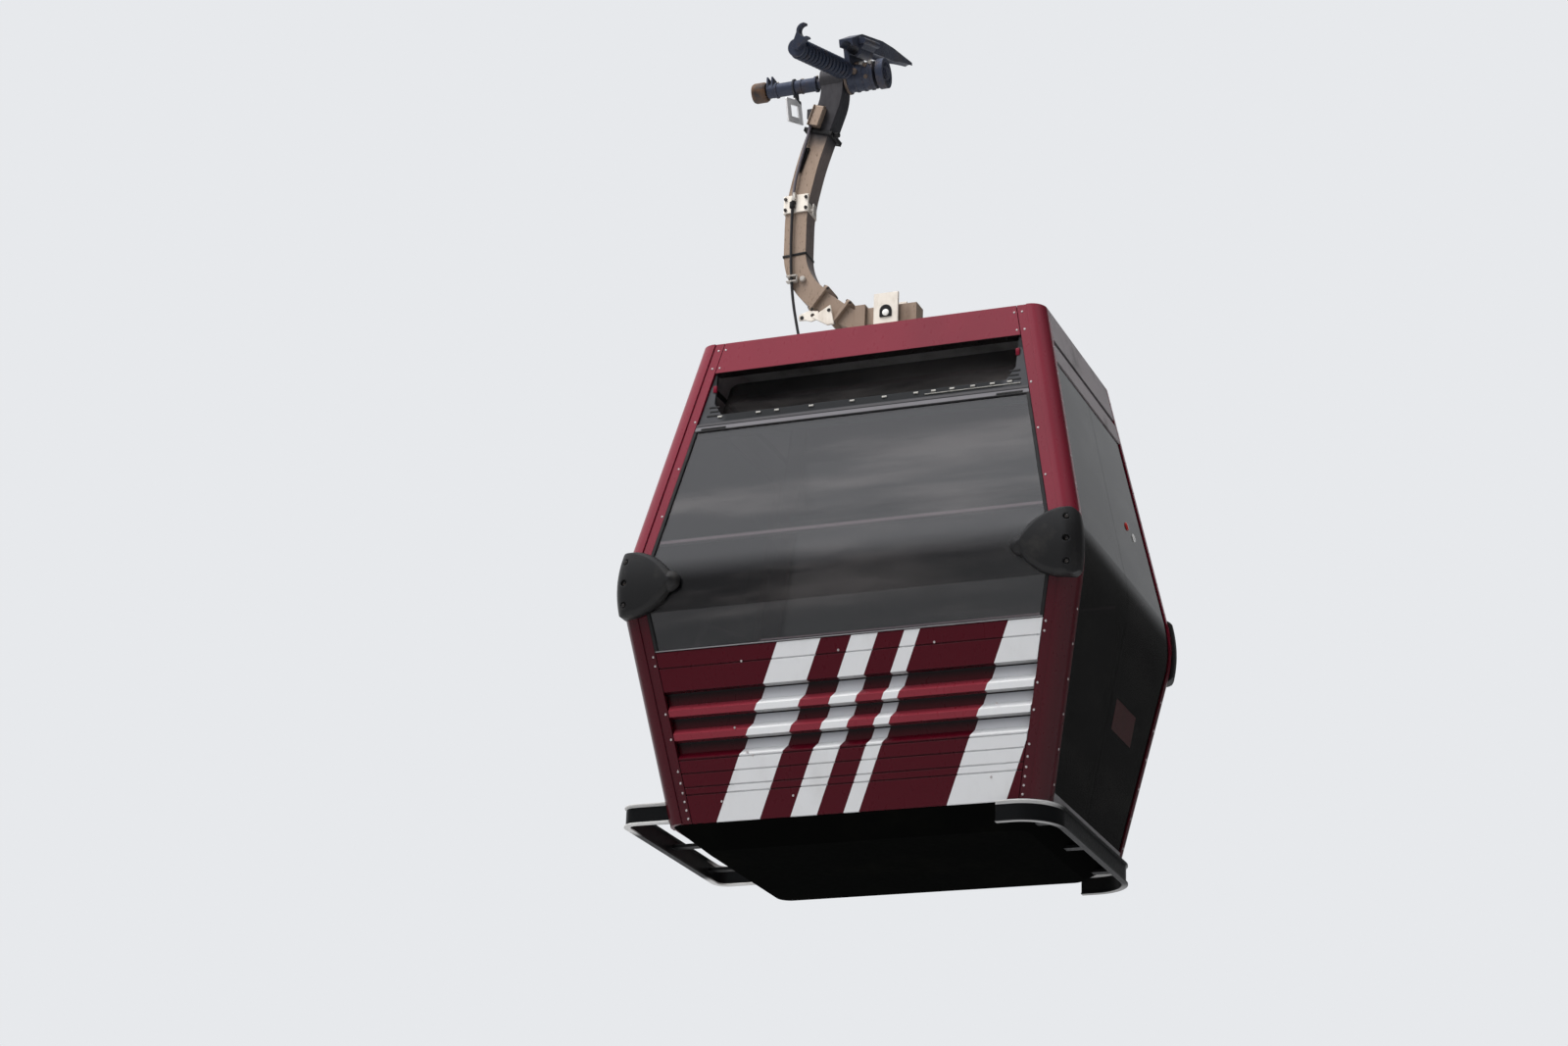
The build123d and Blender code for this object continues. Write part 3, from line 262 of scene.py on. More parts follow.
def below(tree, value, edge, softness=EDGE_SOFTNESS):
    return math_node(tree, "SUBTRACT", 1.0, above(tree, value, edge, softness))


def between(tree, value, low, high):
    return math_node(tree, "SUBTRACT", above(tree, value, low), above(tree, value, high))


def any_of(tree, masks):
    total = masks[0]
    for mask in masks[1:]:
        total = math_node(tree, "ADD", total, mask)
    return total


def level_of(tree):
    """Height above the body's bottom."""
    return math_node(tree, "SUBTRACT", axis_of(tree, "Z"), BODY_BOTTOM)


def across_of(tree):
    """Distance along Y from the cabin's middle."""
    return math_node(tree, "SUBTRACT", axis_of(tree, "Y"), CABIN_Y)


# How every surface spreads its dirt, flecks, worn edges and roughness over a noise's range
BROAD_NOISE = dict(detail=7.0, roughness=0.62)
FINE_NOISE = dict(detail=4.0, roughness=0.55)
FLECK_NOISE = dict(detail=2.0, roughness=0.5)
DIRT_RANGE = (0.48, 0.74)
FLECK_RANGE = (0.62, 0.70)
FLECK_SCALE = 2.3
FLECK_AMOUNT = 0.7
WORN_TURN = (0.99, 0.86)
WORN_RANGE = (0.38, 0.60)
ROUGH_RANGE = (0.30, 0.70)
COAT_ROUGHNESS = 0.08
BEVEL_SAMPLES = 4
BUMP_STRENGTH = 0.5


def surface(name, colour, dirt, dirt_amount=0.5, dirt_scale=3.0, streak=1.0, rough=(0.3, 0.5),
            metallic=0.0, coat=0.0, specular=0.5, grain=60.0, grain_depth=0.0006, edge=None,
            edge_colour=None, edge_radius=0.004, fleck=None):
    """A painted, cast or moulded surface: broad dirt, fine grain, worn edges and softened corners."""
    material, tree, shader = new_material(name)
    place = coordinates(tree, (1, 1, streak))
    broad = noise(tree, place, dirt_scale, **BROAD_NOISE)
    fine = noise(tree, place, grain, **FINE_NOISE)
    base = blend(tree, remap(tree, broad, *DIRT_RANGE, 0.0, dirt_amount), colour, dirt)
    if fleck:
        flecks = noise(tree, place, grain * FLECK_SCALE, **FLECK_NOISE)
        base = blend(tree, remap(tree, flecks, *FLECK_RANGE, 0.0, FLECK_AMOUNT), base, fleck)
    bevel = add_node(tree, "ShaderNodeBevel", samples=BEVEL_SAMPLES, Radius=edge_radius)
    if edge:
        geometry = add_node(tree, "ShaderNodeNewGeometry")
        dot = add_node(tree, "ShaderNodeVectorMath", operation="DOT_PRODUCT")
        link(tree, geometry.outputs["Normal"], dot.inputs[0])
        link(tree, bevel.outputs["Normal"], dot.inputs[1])
        corner = remap(tree, dot.outputs["Value"], *WORN_TURN, 0.0, edge)
        worn = math_node(tree, "MULTIPLY", corner, remap(tree, fine, *WORN_RANGE))
        base = blend(tree, worn, base, edge_colour)
    link(tree, base, shader.inputs["Base Color"])
    link(tree, remap(tree, fine, *ROUGH_RANGE, *rough), shader.inputs["Roughness"])
    bump = add_node(tree, "ShaderNodeBump", Strength=BUMP_STRENGTH, Distance=grain_depth)
    link(tree, fine, bump.inputs["Height"])
    link(tree, bevel.outputs["Normal"], bump.inputs["Normal"])
    link(tree, bump.outputs["Normal"], shader.inputs["Normal"])
    shader.inputs["Metallic"].default_value = metallic
    shader.inputs["Coat Weight"].default_value = coat
    shader.inputs["Coat Roughness"].default_value = COAT_ROUGHNESS
    shader.inputs["Specular IOR Level"].default_value = specular
    return material


def opened(material):
    """A surface with its node tree and the colour that its shader takes."""
    tree = material.node_tree
    return material, tree, tree.nodes["Principled BSDF"].inputs["Base Color"].links[0].from_socket


def recolour(material, colour):
    tree = material.node_tree
    link(tree, colour, tree.nodes["Principled BSDF"].inputs["Base Color"])
    return material


# Colours
RED = (0.165, 0.0048, 0.0190)
RED_DIRT = (0.085, 0.0048, 0.0120)
# Painted highlight on the red louvre strips
RED_LIT = (0.34, 0.045, 0.065)
# Painted shade in the red slots, from a slot's bottom to its top
RED_SLOT_SHADE = ((0.060, 0.0020, 0.0060), (0.0050, 0.0008, 0.0012))
# Painted shade below the waist, and how much of it the posts and the panels take
LOW_SHADE_COLOUR = (0.030, 0.0012, 0.0035)
POST_LOW_SHADE = 0.80
PANEL_LOW_SHADE = 0.74
VINYL = ((0.74, 0.75, 0.76), (0.40, 0.38, 0.36))
# Painted highlight where the white bars cross the louvre strips
VINYL_LIT = (0.86, 0.87, 0.88)
# Painted shade where the white bars cross the slots, from a slot's bottom to its top
VINYL_SLOT_SHADE = ((0.74, 0.75, 0.78), (0.30, 0.31, 0.34))
VINYL_STREAK = (1, 1, 0.4)
VINYL_SOILING = (0.5, 0.8, 0.0, 0.25)
VINYL_SOIL_SCALE = 6.0
# How much of the painted highlight the louvre strips take
LOUVRE_SHINE = 0.6
# The painted shadow line under the strip above each slot
SLOT_TOP_SHADOW = (0.006, 0.004, 0.005)
RAIL_BARE = (0.66, 0.66, 0.65)
# Painted highlight: every steel tube glows, brightest where it faces the cabin's ends
BAR_GLINT = ((0.06, 0.05, 0.055), (0.80, 0.60, 0.68))
BAR_GLINT_TURN = (0.84, 0.92)
BAR_GLOW = 0.8
SOIL_DETAIL = 6.0
VENT_DARK = dict(colour=(0.050, 0.051, 0.056), dirt=(0.03, 0.03, 0.031), metallic=0.1, specular=0.3)
# Painted shade behind the vent's pane and above its cheeks
VENT_INNER_SHADE = (0.010, 0.011, 0.012)
VENT_SOILING = (0.5, 0.8, 0.0, 0.4)
VENT_SOIL_SCALE = 8.0
VENT_CHEEK_SOFTNESS = 0.02
VENT_TOP_SOFTNESS = 0.01
VENT_RAIL = ((0.165, 0.160, 0.172), (0.10, 0.097, 0.097))
VENT_RAIL_LINE = (0.008, 0.008, 0.009)
VENT_RAIL_UPPER = (0.070, 0.068, 0.072)
# Painted shade on the fascia's faces that look down
FASCIA_UNDER_SHADE = (0.008, 0.006, 0.006)
FASCIA_SHADE_TURN = (-0.6, -0.8)
HEADER_PALE = dict(colour=(0.47, 0.42, 0.43))
HEADER_BLACK = (0.006, 0.006, 0.006)
ROOF_FRAME_TAN = ((0.29, 0.215, 0.165), (0.23, 0.17, 0.13))
TARGET_PALE = dict(colour=(0.88, 0.88, 0.88), dirt_amount=0.3)
TARGET_RING = (0.022, 0.024, 0.032)
# Painted shade on the arm's faces toward the doors
ARM_DOOR_SHADE = (0.070, 0.070, 0.085)
ARM_DOOR_SHADE_TURN = (0.5, 0.8, 0.0, 0.6)
ARM_DARK_COLOUR = (0.016, 0.018, 0.024)
ARM_DARK_MOST = 0.95
ARM_HEAD_COLOUR = (0.13, 0.085, 0.075)
ARM_HEAD_SOFTNESS = 0.004
ARM_MOTTLE = 0.12
MOTTLE_SCALE = 9.0
HOSE_PALE = (0.105, 0.095, 0.110)

# Settings of surface(), by the record's material slot
MATERIALS = {
    "body_red": dict(
        colour=RED, dirt=RED_DIRT, dirt_amount=0.3, dirt_scale=1.2, streak=0.5, rough=(0.27, 0.31),
        coat=0.28, specular=0.22, grain=40, grain_depth=0.00002),
    "grey_metal": dict(
        colour=(0.30, 0.29, 0.30), dirt=(0.12, 0.11, 0.105), dirt_amount=0.6, dirt_scale=5,
        rough=(0.34, 0.5), metallic=0.4, grain=180, grain_depth=0.0001),
    "black_rubber": dict(
        colour=(0.012, 0.012, 0.0125), dirt=(0.040, 0.037, 0.034), dirt_scale=9, rough=(0.36, 0.50),
        grain=220, grain_depth=0.0003, edge_radius=0.009, specular=0.3),
    "black_metal": dict(
        colour=(0.006, 0.0065, 0.007), dirt=(0.014, 0.013, 0.011), dirt_scale=4, rough=(0.30, 0.42),
        grain=90, grain_depth=0.0002, edge=0.15, edge_colour=(0.08, 0.075, 0.07), specular=0.12),
    "hanger_steel": dict(
        colour=(0.275, 0.205, 0.158), dirt=(0.140, 0.095, 0.068), dirt_amount=0.8, dirt_scale=7,
        streak=0.35, rough=(0.42, 0.68), grain=70, grain_depth=0.0008, edge=0.5,
        edge_colour=(0.36, 0.30, 0.25), fleck=(0.10, 0.065, 0.042)),
    "grip_steel": dict(
        colour=(0.038, 0.047, 0.076), dirt=(0.075, 0.050, 0.036), dirt_amount=0.7, dirt_scale=12,
        rough=(0.36, 0.62), metallic=0.3, grain=110, grain_depth=0.0010, edge=0.7,
        edge_colour=(0.20, 0.19, 0.20)),
    "pale_plate": dict(
        colour=(0.76, 0.71, 0.64), dirt=(0.34, 0.27, 0.21), dirt_scale=14, streak=0.4,
        rough=(0.42, 0.6), grain=120, grain_depth=0.0004, edge=0.4, edge_colour=(0.16, 0.12, 0.09)),
    "spring_steel": dict(
        colour=(0.013, 0.020, 0.040), dirt=(0.060, 0.040, 0.030), dirt_amount=0.4, dirt_scale=20,
        rough=(0.20, 0.36), metallic=0.4, grain=160, grain_depth=0.0003),
    "brown_polymer": dict(
        colour=(0.100, 0.052, 0.026), dirt=(0.022, 0.020, 0.022), dirt_amount=0.95, dirt_scale=14,
        rough=(0.38, 0.58), grain=120, grain_depth=0.0006, edge=0.6, edge_colour=(0.30, 0.19, 0.10)),
    "roof_white": dict(
        colour=(0.42, 0.42, 0.42), dirt=(0.15, 0.145, 0.13), dirt_amount=0.75, dirt_scale=3.5,
        rough=(0.38, 0.56), grain=60, grain_depth=0.0004),
    "bench_grey": dict(
        colour=(0.060, 0.062, 0.066), dirt=(0.030, 0.030, 0.030), dirt_amount=0.4, dirt_scale=6,
        rough=(0.45, 0.6), grain=260, grain_depth=0.0005, edge_radius=0.012),
    "steel_tube": dict(
        colour=(0.80, 0.66, 0.70), dirt=(0.50, 0.42, 0.44), dirt_amount=0.4, dirt_scale=20,
        rough=(0.28, 0.42), metallic=0.1, grain=300, grain_depth=0.0001),
}
# The same, for what differs from its slot and for the small pieces
OTHER_MATERIALS = {
    "side_red": dict(MATERIALS["body_red"], coat=0.12, specular=0.16),
    # The underframe's black paint, darker than the black metal: partly painted shade under the cabin
    "pan_black": dict(
        colour=(0.0025, 0.0027, 0.0025), dirt=(0.005, 0.005, 0.004), rough=(0.45, 0.6), specular=0.02,
        grain=50, grain_depth=0.0002),
    "rivet": dict(
        colour=(0.62, 0.58, 0.58), dirt=(0.30, 0.22, 0.20), dirt_scale=30, rough=(0.25, 0.4),
        metallic=0.6, grain=300, grain_depth=0.0001),
    "bolt_dark": dict(
        colour=(0.035, 0.032, 0.032), dirt=(0.12, 0.07, 0.04), dirt_amount=0.6, dirt_scale=60,
        metallic=0.5, grain=200, grain_depth=0.0002, edge=0.5, edge_colour=(0.30, 0.28, 0.26)),
    "bolt_bright": dict(
        colour=(0.55, 0.52, 0.48), dirt=(0.25, 0.17, 0.11), dirt_amount=0.6, dirt_scale=50,
        metallic=0.5, grain=200, grain_depth=0.0002),
    "boss_brown": dict(
        colour=(0.13, 0.095, 0.075), dirt=(0.05, 0.045, 0.045), dirt_amount=0.8, dirt_scale=30,
        rough=(0.35, 0.55), metallic=0.3, grain=200, grain_depth=0.0003, edge=0.6,
        edge_colour=(0.36, 0.30, 0.26)),
    "clip_grey": dict(
        colour=(0.42, 0.41, 0.38), dirt=(0.09, 0.085, 0.08), dirt_scale=50, rough=(0.35, 0.5),
        metallic=0.3, grain=200, grain_depth=0.0002),
    "signal_red": dict(
        colour=(0.55, 0.02, 0.015), dirt=(0.2, 0.02, 0.02), dirt_scale=20, rough=(0.2, 0.35),
        grain=200, grain_depth=0.0001, coat=0.4),
    "white_disc": dict(
        colour=(0.82, 0.82, 0.80), dirt=(0.5, 0.47, 0.42), dirt_scale=40, rough=(0.4, 0.6),
        grain=200, grain_depth=0.0002),
    "notice_plate": dict(
        colour=(0.045, 0.014, 0.014), dirt=(0.02, 0.012, 0.010), dirt_scale=12, rough=(0.4, 0.55),
        grain=200, grain_depth=0.0001, specular=0.2),
}
PAN_IOR = 1.05
HOSE_BLACK = dict(
    colour=(0.016, 0.016, 0.018), dirt=(0.06, 0.05, 0.045), dirt_scale=25, rough=(0.4, 0.55),
    grain=300, grain_depth=0.0003, edge_radius=0.002)

# The window glass: clearer in the end walls and dark in the side walls
GLASS = {
    "tinted_glass": dict(
        alpha=0.66, tint=(0.0075, 0.0078, 0.0085), film=(0.11, 0.10, 0.098), ior=1.85),
    "side_glass": dict(
        alpha=0.92, tint=(0.0030, 0.0032, 0.0032), film=(0.010, 0.010, 0.009), ior=1.20),
}
GLASS_STREAK = (1, 0.30, 2.2)
GLASS_DUST_SCALE = 2.6
GLASS_DUST_RANGE = (0.42, 0.72)
GLASS_DUST_MOST = 0.6
GLASS_DUST_COVER = 0.12
GLASS_FINE_SCALE = 30.0
GLASS_FINE_RANGE = (0.35, 0.8)
GLASS_ROUGH = (0.03, 0.09)


def tinted_glass(name, alpha, tint, film, ior):
    """Dark tinted glazing with a film of dust in soft streaks."""
    material, tree, shader = new_material(name)
    streaks = noise(tree, coordinates(tree, GLASS_STREAK), GLASS_DUST_SCALE, SOIL_DETAIL)
    dust = remap(tree, streaks, *GLASS_DUST_RANGE, 0.0, GLASS_DUST_MOST)
    link(tree, blend(tree, dust, tint, film), shader.inputs["Base Color"])
    cover = math_node(tree, "ADD", alpha, math_node(tree, "MULTIPLY", dust, GLASS_DUST_COVER))
    link(tree, cover, shader.inputs["Alpha"])
    fine = noise(tree, coordinates(tree), GLASS_FINE_SCALE)
    link(tree, remap(tree, fine, *GLASS_FINE_RANGE, *GLASS_ROUGH), shader.inputs["Roughness"])
    shader.inputs["IOR"].default_value = ior
    return material


def shaded_below_waist(material, amount):
    """Red paint with painted shade below the waist."""
    material, tree, paint = opened(material)
    low = remap(tree, axis_of(tree, "Z"), *LOW_SHADE_EDGE, 0.0, amount)
    return recolour(material, blend(tree, low, paint, LOW_SHADE_COLOUR))


def glinting(material):
    """A tube that glows, brightest where it faces the cabin's ends: a painted highlight."""
    tree = material.node_tree
    shader = tree.nodes["Principled BSDF"]
    facing = math_node(tree, "ABSOLUTE", axis_of(tree, "X", "Normal"), 0.0)
    glint = blend(tree, remap(tree, facing, *BAR_GLINT_TURN), *BAR_GLINT)
    link(tree, glint, shader.inputs["Emission Color"])
    shader.inputs["Emission Strength"].default_value = BAR_GLOW


def end_panel_paint():
    """Red panels with plain white slanted bars, painted highlights on the louvres and painted shade in the
    slots.
    """
    material, tree, paint = opened(shaded_below_waist(surface("panel_red", **OTHER_MATERIALS["side_red"]), PANEL_LOW_SHADE))
    level = level_of(tree)
    slanted = math_node(tree, "SUBTRACT", across_of(tree), math_node(tree, "MULTIPLY", level, BAR_LEAN))
    bars = any_of(tree, [between(tree, slanted, start, start + width) for start, width in BARS])
    soiling = noise(tree, coordinates(tree, VINYL_STREAK), VINYL_SOIL_SCALE, SOIL_DETAIL)
    vinyl = blend(tree, remap(tree, soiling, *VINYL_SOILING), *VINYL)
    # A painted highlight on the louvre strips
    louvres = any_of(tree, [between(tree, level, low, high) for low, high in LOUVRE_LEVELS])
    lit = math_node(tree, "MULTIPLY", louvres, LOUVRE_SHINE)
    finish = blend(tree, lit, blend(tree, bars, paint, vinyl), blend(tree, bars, RED_LIT, VINYL_LIT))
    # Painted shade in each slot, darker toward its top, and a painted shadow line at its top
    for low, high in SLOT_LEVELS:
        climb = remap(tree, level, low, high)
        shaded = blend(tree, bars, blend(tree, climb, *RED_SLOT_SHADE), blend(tree, climb, *VINYL_SLOT_SHADE))
        shaded = blend(tree, above(tree, level, high - SLOT_SHADOW_HEIGHT), shaded, SLOT_TOP_SHADOW)
        finish = blend(tree, between(tree, level, low, high), finish, shaded)
    return recolour(material, finish)


def vent_paint():
    """Dark vent frames with painted shade behind the pane and above the cheeks, over a paler rail with a
    thin dark line.
    """
    material, tree, paint = opened(surface("vent_dark", **(MATERIALS["grey_metal"] | VENT_DARK)))
    level = level_of(tree)
    aside = math_node(tree, "ABSOLUTE", across_of(tree), 0.0)
    # Painted shade behind the pane and above the cheeks, under the fascia
    shade_behind_pane = math_node(tree, "MULTIPLY", below(tree, aside, VENT_CHEEK_Y, VENT_CHEEK_SOFTNESS),
                            above(tree, level, VENT_DARK_LEVEL))
    shade_over_cheeks = above(tree, level, VENT_CHEEK_TOP, VENT_TOP_SOFTNESS)
    paint = blend(tree, math_node(tree, "MAXIMUM", shade_over_cheeks, shade_behind_pane), paint, VENT_INNER_SHADE)
    soiling = noise(tree, coordinates(tree), VENT_SOIL_SCALE, SOIL_DETAIL)
    rail = blend(tree, remap(tree, soiling, *VENT_SOILING), *VENT_RAIL)
    rail = blend(tree, above(tree, level, RAIL_LINE_LEVEL), rail, VENT_RAIL_LINE)
    rail = blend(tree, above(tree, level, RAIL_LINE_LEVEL + RAIL_LINE_WIDTH), rail, VENT_RAIL_UPPER)
    return recolour(material, blend(tree, below(tree, level, VENT_RAIL_TOP), paint, rail))


def fascia_paint():
    """Red with painted shade on its faces that look down."""
    material, tree, paint = opened(surface("fascia_red", **MATERIALS["body_red"]))
    under = remap(tree, axis_of(tree, "Z", "Normal"), *FASCIA_SHADE_TURN)
    return recolour(material, blend(tree, under, paint, FASCIA_UNDER_SHADE))


def header_paint():
    """Pale metal with a black band where the doors' runner slot is."""
    material, tree, paint = opened(surface("header_paint", **(MATERIALS["grey_metal"] | HEADER_PALE)))
    slot = between(tree, level_of(tree), *HEADER_SLOT)
    return recolour(material, blend(tree, slot, paint, HEADER_BLACK))


def roof_frame_paint():
    """Tan, and pale on the upright plates that hold the dampers."""
    material, tree, paint = opened(surface("frame_paint", **MATERIALS["pale_plate"]))
    plates = math_node(tree, "MULTIPLY", above(tree, axis_of(tree, "Y"), DAMPER_PLATE_Y),
                       above(tree, axis_of(tree, "Z"), DAMPER_PLATE_Z))
    tan = blend(tree, noise(tree, coordinates(tree), MOTTLE_SCALE), *ROOF_FRAME_TAN)
    return recolour(material, blend(tree, plates, tan, paint))


def target_paint():
    """A pale plate that hangs from a dark ring."""
    material, tree, paint = opened(surface("target_paint", **(MATERIALS["pale_plate"] | TARGET_PALE)))
    ring = above(tree, axis_of(tree, "Z"), TARGET_RING_Z)
    return recolour(material, blend(tree, ring, paint, TARGET_RING))


def arm_paint():
    """The hanger's arm, darkest toward the axle, with painted shade on the side toward the doors."""
    material, tree, paint = opened(surface("arm_steel", **MATERIALS["hanger_steel"]))
    door_shade = remap(tree, axis_of(tree, "Y", "Normal"), *ARM_DOOR_SHADE_TURN)
    paint = blend(tree, door_shade, paint, ARM_DOOR_SHADE)
    height = axis_of(tree, "Z")
    mottle = math_node(tree, "MULTIPLY", noise(tree, coordinates(tree), MOTTLE_SCALE), ARM_MOTTLE)
    dark = remap(tree, math_node(tree, "ADD", height, mottle), *ARM_DARK, 0.0, ARM_DARK_MOST)
    head = above(tree, height, ARM_HEAD_Z, ARM_HEAD_SOFTNESS)
    top = blend(tree, head, ARM_DARK_COLOUR, ARM_HEAD_COLOUR)
    return recolour(material, blend(tree, dark, paint, top))


def guide_rail_paint(name):
    """Black paint with the lips of the channel bare toward its ends."""
    top, upper, lower, faded, full = GUIDE_RAILS[name]
    material, tree, paint = opened(surface(name, **MATERIALS["black_metal"]))
    height = axis_of(tree, "Z")
    web = between(tree, height, top - GUIDE_RAIL_HEIGHT + lower, top - upper)
    away = math_node(tree, "ABSOLUTE", axis_of(tree, "X"), 0.0)
    lips = blend(tree, remap(tree, away, faded, full), paint, RAIL_BARE)
    return recolour(material, blend(tree, web, lips, paint))


def hose_paint():
    """A black hose, paler above the collar."""
    material, tree, paint = opened(surface("hose_paint", **HOSE_BLACK))
    upper = above(tree, axis_of(tree, "Z"), HOSE_PALE_Z)
    return recolour(material, blend(tree, upper, paint, HOSE_PALE))


finishes = {name: surface(name, **settings) for name, settings in (MATERIALS | OTHER_MATERIALS).items()}
# Painted shade below the waist on the posts' red and the panels' red
shaded_below_waist(finishes["body_red"], POST_LOW_SHADE)
shaded_below_waist(finishes["side_red"], PANEL_LOW_SHADE)
finishes["pan_black"].node_tree.nodes["Principled BSDF"].inputs["IOR"].default_value = PAN_IOR
# Steel tubes glow with a painted highlight
glinting(finishes["steel_tube"])
finishes |= {name: tinted_glass(name, **settings) for name, settings in GLASS.items()}

# Nodes that look different from their slot, by the start of their names
NODE_FINISHES = {
    "end_panel": end_panel_paint(),
    "vent_frame": vent_paint(),
    "fascia": fascia_paint(),
    "header": header_paint(),
    "roof_frame": roof_frame_paint(),
    "target_plate": target_paint(),
    "hanger_arm": arm_paint(),
    "door_glass": finishes["side_glass"],
    "side_window": finishes["side_glass"],
    "side_panel": finishes["side_red"],
    "underframe": finishes["pan_black"],
    "running_wheel": finishes["grip_steel"],
    **{name: guide_rail_paint(name) for name in GUIDE_RAILS},
}


def finish_of(node, slot):
    """A node's own finish, or that of its slot."""
    for start, finish in NODE_FINISHES.items():
        if node.startswith(start):
            return finish
    return finishes[slot]


for entry in frame["record"]["subparts"]:
    taken = nodes[entry["node"]].data.materials
    taken.clear()
    taken.append(finish_of(entry["node"], entry["material_slot"]))


# Places on the cabin's walls

def wall(half, z):
    """Distance of a wall from the cabin's middle at a height, and the lean of its outward normal."""
    rise = z - WAIST_Z
    edge = BEND_R * sin(SLOPE)
    if abs(rise) <= edge:
        return half - BEND_R + sqrt(BEND_R ** 2 - rise ** 2), math.asin(rise / BEND_R)
    run = half - BEND_R * (1 - cos(SLOPE)) - math.tan(SLOPE) * (abs(rise) - edge)
    return run, math.copysign(SLOPE, rise)


def half_width(level):
    return wall(HALF_WIDTH, BODY_BOTTOM + level)[0]


def end_point(end, y, z, depth):
    """Point and outward normal on an end face; y is measured from the cabin's middle."""
    x, lean = wall(HALF_LENGTH, z)
    normal = Vector((end * cos(lean), 0, sin(lean)))
    return Vector((end * x, CABIN_Y + y, z)) - normal * depth, normal


def side_point(side, x, z, depth=0.0):
    y, lean = wall(HALF_WIDTH, z)
    normal = Vector((0, side * cos(lean), sin(lean)))
    return Vector((x, CABIN_Y + side * y, z)) - normal * depth, normal


# How the small pieces are rounded
POINT_RADIUS = 1e-6
BEVEL_PROFILE = 0.6
SHARP_ANGLE = radians(35)
HEXAGON = 6


class Shape:
    """A mesh gathered from turned, boxed and flat forms, which becomes one object."""

    def __init__(self):
        self.mesh = bmesh.new()

    def turned(self, place, axis, profile, segments=16):
        """A form turned about axis from (distance along axis, radius) pairs."""
        axis = axis.normalized()
        side = axis.orthogonal().normalized()
        other = axis.cross(side)
        rings = []
        for along, radius in profile:
            centre = place + axis * along
            if radius <= POINT_RADIUS:
                rings.append([self.mesh.verts.new(centre)])
                continue
            ring = []
            for i in range(segments):
                angle = 2 * math.pi * i / segments
                point = centre + side * (radius * cos(angle)) + other * (radius * sin(angle))
                ring.append(self.mesh.verts.new(point))
            rings.append(ring)
        for lower, upper in zip(rings, rings[1:]):
            for i in range(segments):
                j = (i + 1) % segments
                loop = (lower[i % len(lower)], lower[j % len(lower)],
                        upper[j % len(upper)], upper[i % len(upper)])
                corners = [v for k, v in enumerate(loop) if v not in loop[:k]]
                if len(corners) > 2:
                    self.mesh.faces.new(corners)

    def block(self, place, size, axes=WORLD_AXES, bevel=0.0, segments=2):
        """A box with softened edges; axes are its three directions."""
        made = bmesh.ops.create_cube(self.mesh, size=1.0)
        for vert in made["verts"]:
            local = vert.co.copy()
            vert.co = place + sum((axes[k] * (local[k] * size[k]) for k in range(3)), Vector())
        if bevel:
            edges = list({edge for vert in made["verts"] for edge in vert.link_edges})
            bmesh.ops.bevel(self.mesh, geom=edges, offset=bevel, segments=segments, affect="EDGES",
                            profile=BEVEL_PROFILE)

    def plate(self, outline, place, thickness):
        """A flat plate: outline points (y, z) at x = place, thick toward -X."""
        front = [self.mesh.verts.new(Vector((place, y, z))) for y, z in outline]
        back = [self.mesh.verts.new(Vector((place - thickness, y, z))) for y, z in outline]
        self.mesh.faces.new(front)
        self.mesh.faces.new(list(reversed(back)))
        for i in range(len(outline)):
            j = (i + 1) % len(outline)
            self.mesh.faces.new((front[j], front[i], back[i], back[j]))

    def climbing_strip(self, end, side, insets, levels, depth, thickness, steps=24):
        """A strip up an end wall, between two insets from the side wall."""
        bottom, top = levels
        rows = []
        for i in range(steps + 1):
            level = bottom + (top - bottom) * i / steps
            row = []
            for inset in insets:
                for extra in (0.0, thickness):
                    y = side * (half_width(level) - inset)
                    row.append(self.mesh.verts.new(end_point(end, y, BODY_BOTTOM + level, depth + extra)[0]))
            rows.append(row)
        for lower, upper in zip(rows, rows[1:]):
            for a, b in ((0, 2), (2, 3), (3, 1), (1, 0)):
                self.mesh.faces.new((lower[a], lower[b], upper[b], upper[a]))
        self.mesh.faces.new([rows[0][k] for k in (0, 1, 3, 2)])
        self.mesh.faces.new([rows[-1][k] for k in (0, 2, 3, 1)])

    def level_strip(self, end, reach, level, height, depth, thickness):
        """A level bar on an end wall, between two distances from the cabin's middle."""
        low, high = sorted(reach)
        point, normal = end_point(end, (low + high) / 2, BODY_BOTTOM + level, depth + thickness / 2)
        up = Y_AXIS.cross(normal) * -end
        self.block(point, (high - low, height, thickness), (Y_AXIS, up, normal))

    def build(self, name, body, finish, smooth=True, slot=None):
        data = bpy.data.meshes.new(name)
        bmesh.ops.recalc_face_normals(self.mesh, faces=self.mesh.faces)
        self.mesh.to_mesh(data)
        self.mesh.free()
        for face in data.polygons:
            face.use_smooth = smooth
        if smooth:
            data.set_sharp_from_angle(angle=SHARP_ANGLE)
        data.materials.append(finishes[finish])
        thing = add_object(name, data)
        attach(thing, body)


# Profiles of turned forms: (distance along the axis, radius)

def dome(radius, height):
    return ((-0.001, radius), (0.0, radius), (height * 0.6, radius * 0.82), (height, 0.0))


def bolt_head(radius, height):
    return ((-0.002, radius), (height * 0.8, radius), (height, radius * 0.86), (height, 0.0))


def button(radius, height):
    return ((-0.002, radius), (height * 0.6, radius), (height, radius * 0.8), (height, 0.0))


def collar(radius, width, bore, chamfer=0.0015):
    return ((0.0, bore), (0.0, radius - chamfer), (chamfer, radius), (width - chamfer, radius),
            (width, radius - chamfer), (width, bore))


